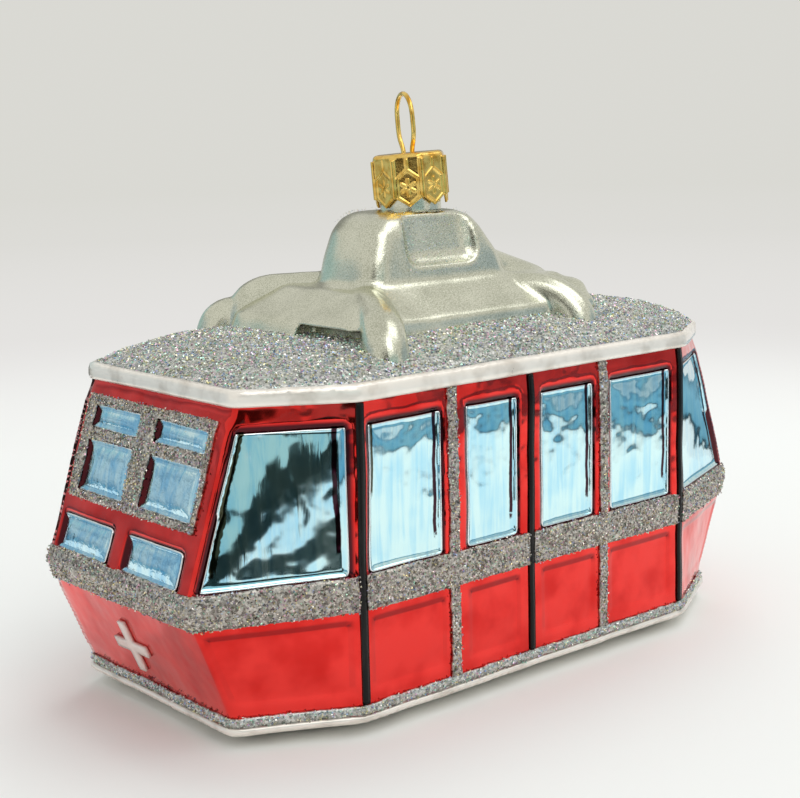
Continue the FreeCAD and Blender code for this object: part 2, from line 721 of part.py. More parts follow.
os.makedirs("parts", exist_ok=True)
for name, shape in all_nodes().items():
    shape.exportStep("parts/%s.step" % name)
    box = shape.BoundBox
    print("%-22s solids %d valid %s volume %9.2f  x %7.2f %7.2f  y %7.2f %7.2f  z %6.2f %6.2f" % (
        name, len(shape.Solids), shape.isValid(), shape.Volume,
        box.XMin, box.XMax, box.YMin, box.YMax, box.ZMin, box.ZMax,
    ))
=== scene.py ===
"""Blown glass tree ornament in the shape of a small cable car cabin.

The glass cabin is modelled as one soft mould. Every coat on it, the glitter,
the blue lacquer panes and the enamel, is lifted from the mould's own faces, so
that all coats follow the glass. All sizes are in metres.
"""

import logging
import math
from collections.abc import Callable, Iterable
from contextlib import contextmanager
from dataclasses import dataclass, field
from enum import Enum
from functools import cache

import bmesh
import bpy
from mathutils import Matrix, Vector
from mathutils.kdtree import KDTree


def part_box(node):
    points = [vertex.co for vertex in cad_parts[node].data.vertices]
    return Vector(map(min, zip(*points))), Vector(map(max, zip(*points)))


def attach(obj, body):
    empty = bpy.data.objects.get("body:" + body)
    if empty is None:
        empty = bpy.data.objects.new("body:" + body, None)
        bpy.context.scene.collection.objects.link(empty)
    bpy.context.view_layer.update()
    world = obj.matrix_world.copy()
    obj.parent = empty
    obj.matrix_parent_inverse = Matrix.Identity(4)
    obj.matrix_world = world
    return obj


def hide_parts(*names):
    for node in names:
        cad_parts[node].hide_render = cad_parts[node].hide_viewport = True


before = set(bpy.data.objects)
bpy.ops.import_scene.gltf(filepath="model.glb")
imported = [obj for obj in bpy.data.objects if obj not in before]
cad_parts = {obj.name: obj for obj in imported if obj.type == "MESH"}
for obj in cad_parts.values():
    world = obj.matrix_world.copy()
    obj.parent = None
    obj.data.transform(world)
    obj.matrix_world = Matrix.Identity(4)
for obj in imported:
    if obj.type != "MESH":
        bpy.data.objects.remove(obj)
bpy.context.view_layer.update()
log = logging.getLogger("ornament")

Colour = tuple[float, float, float]
Span = tuple[float, float]
FINE = 1e-6
BLUE_PANES = [name for name in sorted(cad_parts) if "window" in name or "panes" in name]


class Wall(Enum):
    """The four kinds of face of the cabin."""

    SIDE = "side"
    NOSE = "nose"
    CORNER = "corner"
    FLAT = "flat"


# ---- modelling ----

@cache
def box(node: str) -> tuple[Vector, Vector]:
    """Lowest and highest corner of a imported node."""
    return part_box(node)


def span(node: str, axis: str, gap: float = 0.0) -> Span:
    """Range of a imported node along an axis, grown by a gap at both ends."""
    low, high = box(node)
    return getattr(low, axis) - gap, getattr(high, axis) + gap


def within(spans: Iterable[Span], value: float) -> bool:
    """Whether one of the spans holds a value."""
    return any(low < value < high for low, high in spans)


def joint(spans: Iterable[Span]) -> list[float]:
    """All ends of some spans in one list."""
    return [end for ends in spans for end in ends]


def deselect_all() -> None:
    """Leaves nothing selected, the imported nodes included."""
    if bpy.context.object and bpy.context.object.mode != "OBJECT":
        bpy.ops.object.mode_set(mode="OBJECT")
    bpy.ops.object.select_all(action="DESELECT")


def pick(piece: bpy.types.Object) -> None:
    """Makes one object the only selected and the active one."""
    deselect_all()
    piece.select_set(True)
    bpy.context.view_layer.objects.active = piece


@contextmanager
def editing(piece: bpy.types.Object):
    """Edit mode on one object, with nothing selected at the start.

    Args:
        piece: the object that is shaped.
    """
    pick(piece)
    bpy.ops.object.mode_set(mode="EDIT")
    bpy.ops.mesh.select_mode(type="FACE")
    bpy.ops.mesh.select_all(action="DESELECT")
    yield
    bpy.ops.object.mode_set(mode="OBJECT")


Test = Callable[[object], bool]


def choose(piece: bpy.types.Object, test: Test, kind: str = "faces") -> int:
    """Selects the elements of the edited mesh that pass a test.

    Args:
        piece: the object in edit mode.
        test: takes a face, edge or vertex and says whether it is wanted.
        kind: "faces", "edges" or "verts".

    Returns:
        How many were selected.
    """
    modes = {"faces": {"FACE"}, "edges": {"EDGE"}, "verts": {"VERT"}}
    mesh = bmesh.from_edit_mesh(piece.data)
    bpy.ops.mesh.select_all(action="DESELECT")
    mesh.select_mode = modes[kind]
    count = 0
    for element in getattr(mesh, kind):
        if test(element):
            element.select_set(True)
            count += 1
    mesh.select_flush_mode()
    bmesh.update_edit_mesh(piece.data)
    return count


def bisect(point: Iterable[float], normal: Iterable[float], **options: bool) -> None:
    """Cuts what is selected along a plane."""
    bpy.ops.mesh.bisect(
        plane_co=tuple(point), plane_no=tuple(Vector(normal).normalized()), threshold=FINE,
        **options,
    )


def extrude(move: Iterable[float]) -> None:
    """Extrudes the selected faces by a move."""
    bpy.ops.mesh.extrude_region_move(TRANSFORM_OT_translate={"value": tuple(move)})


def shift(move: Iterable[float]) -> None:
    """Moves what is selected."""
    bpy.ops.transform.translate(value=tuple(move))


def resize(value: tuple, centre: tuple = (0.0, 0.0, 0.0)) -> None:
    """Stretches what is selected about a point."""
    bpy.ops.transform.resize(value=value, center_override=centre)


def face_outwards() -> None:
    """Turns all normals of the edited mesh outwards."""
    bpy.ops.mesh.select_all(action="SELECT")
    bpy.ops.mesh.normals_make_consistent(inside=False)


def modify(piece: bpy.types.Object, kind: str, **settings) -> None:
    """Adds a modifier, sets it and applies it.

    Args:
        piece: the object that gets it.
        kind: Blender's name of the modifier type.
        settings: its properties.
    """
    pick(piece)
    modifier = piece.modifiers.new(kind.lower(), kind)
    for name, value in settings.items():
        setattr(modifier, name, value)
    bpy.ops.object.modifier_apply(modifier=modifier.name)


def soften(piece: bpy.types.Object, rounds: int, **settings) -> None:
    """Evens out a piece's points, in some rounds."""
    modify(piece, "SMOOTH", factor=0.5, iterations=rounds, **settings)


def clouds(name: str, grain: float, coloured: bool = False) -> bpy.types.Texture:
    """Soft noise for a displacement.

    Args:
        name: name of the texture.
        grain: size of its lumps.
        coloured: whether its three channels differ.

    Returns:
        The texture.
    """
    texture = bpy.data.textures.new(name, "CLOUDS")
    texture.noise_scale = grain
    texture.noise_depth = 1
    texture.cloud_type = "COLOR" if coloured else "GRAYSCALE"
    return texture


def wobble(piece: bpy.types.Object, grain: float, size: float) -> None:
    """Gives a piece the slight unevenness of blown glass."""
    modify(
        piece, "DISPLACE", texture=clouds("wobble", grain), strength=size,
        mid_level=0.5, texture_coords="LOCAL",
    )


def ragged(piece: bpy.types.Object, grain: float, size: float) -> None:
    """Shifts a piece's points all ways at random, as glue runs at its edges."""
    modify(
        piece, "DISPLACE", texture=clouds("ragged", grain, True), strength=size,
        mid_level=0.5, texture_coords="LOCAL", direction="RGB_TO_XYZ", space="LOCAL",
    )


def smooth_shade(piece: bpy.types.Object) -> None:
    """Shades a piece as one soft surface."""
    pick(piece)
    bpy.ops.object.shade_smooth()


def put_in_order(piece: bpy.types.Object) -> None:
    """Lists a piece's points and faces in one fixed order.

    Many cuts in a row leave them in an order that changes from run to run, and the
    random draws follow that order. The shape stays as it is.

    Args:
        piece: a piece without attributes of its own.
    """
    mesh = piece.data
    places = [tuple(vert.co) for vert in mesh.vertices]
    order = sorted(range(len(places)), key=places.__getitem__)
    rank = {old: new for new, old in enumerate(order)}
    rings = []
    for face in mesh.polygons:
        ring = [rank[number] for number in face.vertices]
        start = ring.index(min(ring))
        rings.append(ring[start:] + ring[:start])
    mesh.clear_geometry()
    mesh.from_pydata([places[number] for number in order], [], sorted(rings))
    mesh.update()


def taken(piece: bpy.types.Object, test: Test, name: str) -> bpy.types.Object:
    """Copies some faces of a piece to a new object.

    Args:
        piece: the object that they are copied from.
        test: takes a face and says whether it is wanted.
        name: name of the new object.

    Returns:
        The new object.
    """
    with editing(piece):
        if not choose(piece, test):
            raise ValueError(f"no face found for {name}")
        bpy.ops.mesh.duplicate()
        bpy.ops.mesh.separate(type="SELECTED")
    made = next(o for o in bpy.context.selected_objects if o is not piece)
    made.name = made.data.name = name
    return made


def between(values: Iterable[float], step: float) -> list[float]:
    """Positions between given ones, so that no gap is wider than a step.

    Args:
        values: the given positions, in any order.
        step: the widest gap.

    Returns:
        The positions between them, without the given ones.
    """
    marks = sorted(set(round(value, 7) for value in values))
    between = []
    for low, high in zip(marks, marks[1:]):
        parts = math.ceil((high - low) / step - 1e-3)
        between += [low + (high - low) * n / parts for n in range(1, parts)]
    return between


def joined(pieces: list[bpy.types.Object], name: str) -> bpy.types.Object:
    """Joins pieces into the first one.

    Args:
        pieces: the pieces.
        name: name of what they become.

    Returns:
        The joined piece.
    """
    deselect_all()
    for piece in pieces:
        piece.select_set(True)
    bpy.context.view_layer.objects.active = pieces[0]
    bpy.ops.object.join()
    pieces[0].name = pieces[0].data.name = name
    return pieces[0]


def placed(piece: bpy.types.Object, matrix: Matrix) -> bpy.types.Object:
    """Moves a piece's mesh by a matrix and leaves its object unturned.

    Args:
        piece: the piece.
        matrix: the move.

    Returns:
        The same piece.
    """
    piece.matrix_world = matrix @ piece.matrix_world
    pick(piece)
    bpy.ops.object.transform_apply(location=True, rotation=True, scale=True)
    return piece


def copies(piece: bpy.types.Object, matrices: Iterable[Matrix]) -> list[bpy.types.Object]:
    """Copies a piece, with its own mesh, to other places.

    Args:
        piece: the model; it stays where it is.
        matrices: one move for each copy.

    Returns:
        The copies.
    """
    made = []
    for matrix in matrices:
        pick(piece)
        bpy.ops.object.duplicate()
        made.append(placed(bpy.context.object, matrix))
    return made


def around(angle: float) -> Matrix:
    """Turn about the upright axis, in degrees."""
    return Matrix.Rotation(math.radians(angle), 4, "Z")


def turned(piece: bpy.types.Object, pivot: Iterable[float], angle: float,
           axis: str | Vector) -> bpy.types.Object:
    """Turns a piece about an axis through a pivot.

    Args:
        piece: the piece.
        pivot: a place on the axis.
        angle: the turn in degrees.
        axis: "X", "Y", "Z" or the way of the axis.

    Returns:
        The same piece.
    """
    there = Matrix.Translation(pivot)
    turn = Matrix.Rotation(math.radians(angle), 4, axis)
    return placed(piece, there @ turn @ there.inverted())


def plane(centre: tuple, half_x: float, half_y: float) -> bpy.types.Object:
    """Level plane.

    Args:
        centre: its middle.
        half_x: half its reach along x.
        half_y: half its reach along y.

    Returns:
        The plane.
    """
    deselect_all()
    bpy.ops.mesh.primitive_plane_add(size=2.0, location=centre)
    piece = bpy.context.object
    piece.scale = (half_x, half_y, 1.0)
    bpy.ops.object.transform_apply(location=True, rotation=False, scale=True)
    return piece


def block(low: tuple, high: tuple, rounding: float = 0.0) -> bpy.types.Object:
    """Box between two corners, with rounded edges.

    Args:
        low: lowest corner.
        high: highest corner.
        rounding: radius of its edges.

    Returns:
        The box.
    """
    deselect_all()
    low, high = Vector(low), Vector(high)
    bpy.ops.mesh.primitive_cube_add(size=1.0, location=(low + high) / 2)
    piece = bpy.context.object
    piece.scale = high - low
    bpy.ops.object.transform_apply(location=True, rotation=False, scale=True)
    if rounding:
        modify(piece, "BEVEL", width=rounding, segments=4)
    return piece


def bar(start: tuple, end: tuple, radius: float, sides: int = 10) -> bpy.types.Object:
    """Round bar between two points.

    Args:
        start: middle of one end.
        end: middle of the other end.
        radius: its radius.
        sides: how many sides stand for the round.

    Returns:
        The bar.
    """
    deselect_all()
    start, end = Vector(start), Vector(end)
    way = end - start
    bpy.ops.mesh.primitive_cylinder_add(
        vertices=sides, radius=radius, depth=way.length, location=(start + end) / 2,
        rotation=way.to_track_quat("Z", "Y").to_euler(),
    )
    piece = bpy.context.object
    bpy.ops.object.transform_apply(location=True, rotation=True, scale=True)
    return piece


def tube(name: str, route: list, radius: float, thickness: list[float]) -> bpy.types.Object:
    """Round tube along a smooth line.

    Args:
        name: its name.
        route: places that steer the line.
        radius: its radius.
        thickness: share of the radius at each place.

    Returns:
        The tube, as a mesh.
    """
    curve = bpy.data.curves.new(name, "CURVE")
    curve.dimensions = "3D"
    curve.bevel_depth = radius
    curve.bevel_resolution = 4
    curve.resolution_u = 4
    curve.use_fill_caps = True
    spline = curve.splines.new("NURBS")
    spline.points.add(len(route) - 1)
    for point, place, share in zip(spline.points, route, thickness):
        point.co = (*place, 1.0)
        point.radius = share
    spline.order_u = 3
    spline.use_endpoint_u = True
    piece = bpy.data.objects.new(name, curve)
    bpy.context.scene.collection.objects.link(piece)
    pick(piece)
    bpy.ops.object.convert(target="MESH")
    return piece


def remesh(piece: bpy.types.Object, voxel: float, rounds: int) -> None:
    """Turns overlapping solids into one even skin and softens it."""
    modify(piece, "REMESH", mode="VOXEL", voxel_size=voxel)
    if rounds:
        soften(piece, rounds)


# ---- shader trees ----

class Wire:
    """One output in a node tree, with the usual operators."""

    def __init__(self, graph: "Graph", socket: bpy.types.NodeSocket) -> None:
        """Keeps the tree and the socket."""
        self.graph = graph
        self.socket = socket

    def maths(self, operation: str, *values: "Wire | float") -> "Wire":
        """Adds a Math node with these operands."""
        return self.graph.node(
            "ShaderNodeMath", {"operation": operation}, dict(enumerate(values))
        )

    def __add__(self, other: "Wire | float") -> "Wire":
        """Sum."""
        return self.maths("ADD", self, other)

    __radd__ = __add__

    def __mul__(self, other: "Wire | float") -> "Wire":
        """Product."""
        return self.maths("MULTIPLY", self, other)

    __rmul__ = __mul__

    def __sub__(self, other: "Wire | float") -> "Wire":
        """Difference."""
        return self.maths("SUBTRACT", self, other)

    def __rsub__(self, other: float) -> "Wire":
        """Difference from a number."""
        return self.maths("SUBTRACT", other, self)

    def __truediv__(self, other: "Wire | float") -> "Wire":
        """Quotient."""
        return self.maths("DIVIDE", self, other)

    def step(self, low: float, high: float) -> "Wire":
        """0 under low, 1 over high, and smooth between them."""
        return self.graph.node(
            "ShaderNodeMapRange", {"interpolation_type": "SMOOTHSTEP"},
            {"Value": self, "From Min": low, "From Max": high},
        )


class Graph:
    """Node tree of one material or of the world."""

    def __init__(self, tree: bpy.types.NodeTree) -> None:
        """Empties the tree."""
        self.tree = tree
        tree.nodes.clear()

    def node(self, kind: str, settings: dict | None = None,
             sockets: dict | None = None, output: int | str = 0) -> Wire:
        """Adds one node.

        Args:
            kind: Blender's type name.
            settings: properties set first; "stops" are a colour ramp's stops.
            sockets: values or wires for its inputs, by name or number.
            output: which output is wanted.

        Returns:
            The wire from that output.
        """
        made = self.tree.nodes.new(kind)
        for name, value in (settings or {}).items():
            if name == "stops":
                self.set_stops(made.color_ramp, value)
            else:
                setattr(made, name, value)
        for place, value in (sockets or {}).items():
            self.feed(made.inputs[place], value)
        return Wire(self, made.outputs[output]) if len(made.outputs) else None

    def feed(self, socket: bpy.types.NodeSocket, value) -> None:
        """Links a wire to an input or sets the input's own value."""
        if isinstance(value, Wire):
            self.tree.links.new(value.socket, socket)
        elif isinstance(value, tuple) and len(value) == 3 and socket.type == "RGBA":
            socket.default_value = (*value, 1.0)
        else:
            socket.default_value = value

    @staticmethod
    def set_stops(ramp: bpy.types.ColorRamp, stops: list) -> None:
        """Gives a ramp its stops: (place, colour) pairs."""
        while len(ramp.elements) < len(stops):
            ramp.elements.new(0.5)
        for element, (place, colour) in zip(ramp.elements, stops):
            element.position = place
            element.color = (*colour, 1.0)

    def blend(self, first, second, share, mode: str = "MIX") -> Wire:
        """Mixes two colours.

        Args:
            first: colour at a share of 0.
            second: colour at a share of 1.
            share: wire or number.
            mode: Blender's blend type.

        Returns:
            The mixed colour.
        """
        return self.node(
            "ShaderNodeMix", {"data_type": "RGBA", "blend_type": mode},
            {0: share, 6: first, 7: second}, 2,
        )

    def place(self, stretch: Colour = (1.0, 1.0, 1.0)) -> Wire:
        """Object coordinates, stretched along the axes."""
        here = self.node("ShaderNodeTexCoord", output="Object")
        return self.node("ShaderNodeMapping", None, {"Vector": here, "Scale": stretch})

    def noise(self, where: Wire, scale: float, detail: float = 2.0,
              distortion: float = 0.0) -> Wire:
        """Soft noise from 0 to 1; the scale is in lumps a metre."""
        return self.node(
            "ShaderNodeTexNoise", None,
            {"Vector": where, "Scale": scale, "Detail": detail, "Distortion": distortion},
        )

    def bump(self, height: Wire, strength: float, depth: float) -> Wire:
        """Normal of a surface with this height map."""
        return self.node(
            "ShaderNodeBump", None,
            {"Height": height, "Strength": strength, "Distance": depth}, "Normal",
        )

    def vector(self, operation: str, sockets: dict, output: int | str = 0) -> Wire:
        """Adds a Vector Math node."""
        return self.node("ShaderNodeVectorMath", {"operation": operation}, sockets, output)

    def attribute(self, name: str, output: str) -> Wire:
        """Reads an attribute of the mesh."""
        return self.node("ShaderNodeAttribute", {"attribute_name": name}, output=output)

    def glow(self, colour: Wire) -> None:
        """Ends the tree in an even glow that no lamp changes."""
        light = self.node("ShaderNodeEmission", None, {"Color": colour})
        self.node("ShaderNodeOutputMaterial", None, {"Surface": light})

    def surface(self, **sockets) -> None:
        """Ends the tree in a Principled shader; names use _ for a space."""
        shader = self.node(
            "ShaderNodeBsdfPrincipled", None,
            {name.replace("_", " "): value for name, value in sockets.items()},
        )
        self.node("ShaderNodeOutputMaterial", None, {"Surface": shader})


def new_material(name: str) -> tuple[bpy.types.Material, Graph]:
    """A material with an empty tree.

    Args:
        name: its name.

    Returns:
        The material and its graph.
    """
    material = bpy.data.materials.new(name)
    material.use_nodes = True
    return material, Graph(material.node_tree)


@dataclass(frozen=True)
class Finish:
    """Procedural finish; each kind paints its own node tree."""

    def material(self, name: str) -> bpy.types.Material:
        """Builds the finish.

        Args:
            name: name of the material.

        Returns:
            The material.
        """
        made, graph = new_material(name)
        self.paint(graph)
        return made

    def paint(self, graph: Graph) -> None:
        """Paints the tree."""
        raise NotImplementedError


@dataclass(frozen=True)
class RedLacquer(Finish):
    """Clear red lacquer over silvered glass, with painted shade on the recess slopes."""

    deep: Colour = (0.72, 0.014, 0.010)
    bright: Colour = (0.93, 0.042, 0.034)
    recess_shade_colour: Colour = (0.060, 0.003, 0.008)

    def paint(self, graph: Graph) -> None:
        """Paints the tree."""
        here = graph.place()
        cloudy = graph.noise(here, 160.0, 3.0)
        runs = graph.noise(graph.place((420.0, 420.0, 60.0)), 1.0, 2.0)
        # painted shade: the recess slopes blend towards a deep maroon, by the stored attribute
        recess_shade = graph.attribute("recess_shade", "Fac")
        clear = graph.blend(self.deep, self.bright, cloudy.step(0.30, 0.62))
        graph.surface(
            Base_Color=graph.blend(clear, self.recess_shade_colour, (recess_shade + cloudy * 0.2).step(0.18, 0.62)),
            Metallic=1.0,
            Roughness=0.05 + runs * 0.10,
            Coat_Weight=0.35,
            Coat_Roughness=0.04,
            Normal=graph.bump(graph.noise(here, 330.0, 1.0), 0.35, 0.0004),
        )


@dataclass(frozen=True)
class BlueLacquer(Finish):
    """Pale blue lacquer brushed over silvered glass, thin at its rim; painted reflection and shade
    by its upright edges.
    """

    pale: Colour = (0.72, 0.98, 1.0)
    blue: Colour = (0.46, 0.82, 0.98)
    rim: Colour = (0.94, 0.98, 1.0)
    reveal_reflection: Colour = (0.040, 0.007, 0.018)
    shade_olive: Colour = (0.050, 0.052, 0.026)
    mottle: float = 0.0
    wave: float = 0.32
    shade: Span = (0.30, 0.85)
    shade_foot: float = 0.50

    def paint(self, graph: Graph) -> None:
        """Paints the tree."""
        strokes = graph.noise(graph.place((900.0, 900.0, 70.0)), 1.0, 3.0, 0.8)
        cloudy = graph.noise(graph.place(), 190.0, 2.0)
        lumps = graph.noise(graph.place(), 1100.0, 3.0, 1.2)
        edge = graph.attribute("rim", "Fac")
        share = (strokes * 0.6 + cloudy * 0.4).step(0.36, 0.62)
        edge = (edge + strokes * 0.3).step(0.55, 0.85)
        edges = graph.attribute("edges", "Vector")
        rear, front, rise = (
            graph.node("ShaderNodeSeparateXYZ", None, {0: edges}, way) for way in "XYZ"
        )
        bend = cloudy * 0.9 + lumps * 0.15 - 0.5
        rise = rise + (lumps - 0.5) * 0.2
        # painted reflection: a wine-dark line near the rear edge, for the red reveal mirrored in
        # the pane
        reflection_line = self.line(rear + bend, 0.64, 1.24) * rise.step(0.14, 0.18)
        # painted shade: an olive-dark strip near the front edge of the shaded windows
        shade = self.line(front + bend, *self.shade) * rise.step(
            self.shade_foot, self.shade_foot + 0.06
        )
        colour = graph.blend(graph.blend(self.blue, self.pale, share), self.rim, edge)
        colour = graph.blend(colour, self.shade_olive, shade)
        graph.surface(
            Base_Color=graph.blend(colour, self.reveal_reflection, reflection_line),
            Metallic=1.0,
            Roughness=0.04 + strokes * 0.08 + edge * 0.12,
            Coat_Weight=0.4,
            Coat_Roughness=0.04,
            Normal=graph.bump(
                cloudy + strokes * 0.10 + lumps * self.mottle, self.wave, 0.0006
            ),
        )

    @staticmethod
    def line(gap: Wire, low: float, high: float) -> Wire:
        """1 between two distances from an edge, in mm."""
        return gap.step(low - 0.06, low + 0.06) * (1.0 - gap.step(high - 0.08, high + 0.08))


@dataclass(frozen=True)
class Glue(Finish):
    """Clear glue full of fine silver dust, under the grains."""

    dark: Colour
    light: Colour
    dust: float = 3200.0

    def paint(self, graph: Graph) -> None:
        """Paints the tree."""
        specks = graph.node(
            "ShaderNodeTexVoronoi", None, {"Vector": graph.place(), "Scale": self.dust},
            "Color",
        )
        value = graph.node("ShaderNodeSeparateColor", None, {0: specks})
        graph.surface(
            Base_Color=graph.blend(self.dark, self.light, value),
            Metallic=0.8,
            Roughness=0.25 + value * 0.3,
            Normal=graph.bump(value, 0.7, 0.0003),
        )


@dataclass(frozen=True)
class Grains(Finish):
    """Silver glitter grains with faint rainbow tints."""

    bright: Colour
    dark: Colour
    cells: int = 40
    metal: float = 0.9

    def paint(self, graph: Graph) -> None:
        """Paints the tree; each grain has one cell of its map."""
        spot = graph.node("ShaderNodeUVMap", {"uv_map": "OFBake"})
        cell = graph.vector("SCALE", {0: spot, "Scale": self.cells})
        cell = graph.vector("FLOOR", {0: cell})
        chance = graph.node("ShaderNodeTexWhiteNoise", {"noise_dimensions": "2D"},
                            {"Vector": cell}, "Color")
        parts = [
            graph.node("ShaderNodeSeparateColor", None, {0: chance}, n) for n in range(3)
        ]
        tint = graph.node(
            "ShaderNodeValToRGB",
            {"stops": [
                (0.0, (0.90, 0.90, 0.90)), (0.34, (0.95, 0.93, 0.90)),
                (0.48, (0.44, 0.95, 0.76)), (0.60, (1.0, 0.56, 0.76)),
                (0.72, (0.40, 0.60, 1.0)), (0.86, (1.0, 0.92, 0.48)),
                (1.0, (0.84, 0.84, 0.86)),
            ]},
            {0: parts[0]},
        )
        grey = graph.blend(self.dark, self.bright, parts[1].step(0.0, 0.7))
        graph.surface(
            Base_Color=graph.blend(tint, grey, 1.0, "MULTIPLY"),
            Metallic=self.metal,
            Roughness=0.18 + parts[2] * 0.25,
        )


@dataclass(frozen=True)
class Enamel(Finish):
    """Pearl enamel, a little uneven."""

    cream: Colour = (0.96, 0.91, 0.83)
    grey: Colour = (0.70, 0.64, 0.56)
    metal: float = 0.40

    def paint(self, graph: Graph) -> None:
        """Paints the tree."""
        here = graph.place()
        cloudy = graph.noise(here, 260.0, 3.0)
        graph.surface(
            Base_Color=graph.blend(self.grey, self.cream, cloudy.step(0.25, 0.55)),
            Metallic=self.metal,
            Roughness=0.24 + cloudy * 0.12,
            Coat_Weight=0.5,
            Coat_Roughness=0.12,
            Normal=graph.bump(graph.noise(here, 700.0, 2.0), 0.25, 0.0003),
        )


@dataclass(frozen=True)
class Champagne(Finish):
    """Satin champagne lacquer over silvered glass."""

    dark: Colour = (0.54, 0.55, 0.44)
    light: Colour = (0.82, 0.82, 0.69)

    def paint(self, graph: Graph) -> None:
        """Paints the tree."""
        here = graph.place()
        fine = graph.noise(here, 6500.0, 2.0)
        cloudy = graph.noise(here, 200.0, 2.0, 0.3)
        graph.surface(
            Base_Color=graph.blend(
                self.dark, self.light, (cloudy * 0.25 + fine * 0.75).step(0.36, 0.60)
            ),
            Metallic=1.0,
            Roughness=0.15 + fine * 0.10,
            Normal=graph.bump(fine, 0.22, 0.00010),
        )


@dataclass(frozen=True)
class BlackLine(Finish):
    """Gloss black lacquer."""

    black: Colour = (0.004, 0.0035, 0.0035)
    worn: Colour = (0.016, 0.013, 0.012)

    def paint(self, graph: Graph) -> None:
        """Paints the tree."""
        streaks = graph.noise(graph.place((900.0, 900.0, 120.0)), 1.0, 2.0)
        graph.surface(
            Base_Color=graph.blend(self.black, self.worn, streaks.step(0.5, 0.8)),
            Roughness=0.16 + streaks * 0.12,
            Specular_IOR_Level=0.22,
            Normal=graph.bump(streaks, 0.3, 0.0002),
        )


@dataclass(frozen=True)
class Gold(Finish):
    """Bright stamped gold."""

    deep: Colour = (0.70, 0.38, 0.06)
    bright: Colour = (1.0, 0.70, 0.20)
    roughness: float = 0.10

    def paint(self, graph: Graph) -> None:
        """Paints the tree."""
        here = graph.place()
        cloudy = graph.noise(here, 900.0, 2.0)
        graph.surface(
            Base_Color=graph.blend(self.deep, self.bright, cloudy.step(0.25, 0.65)),
            Metallic=1.0,
            Roughness=self.roughness + cloudy * 0.10,
            Normal=graph.bump(graph.noise(here, 2600.0, 2.0), 0.15, 0.0001),
        )


def dress(piece: bpy.types.Object, *materials: bpy.types.Material) -> None:
    """Gives a piece these materials and no others."""
    piece.data.materials.clear()
    for material in materials:
        piece.data.materials.append(material)


def settle(piece: bpy.types.Object, body: str, slot: str, *nodes: str) -> None:
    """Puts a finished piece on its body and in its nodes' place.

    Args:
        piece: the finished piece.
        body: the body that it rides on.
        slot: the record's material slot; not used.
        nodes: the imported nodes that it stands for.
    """
    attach(piece, body)
    if nodes:
        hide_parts(*nodes)
    log.info("%s: %d faces", piece.name, len(piece.data.polygons))


# ---- glitter ----

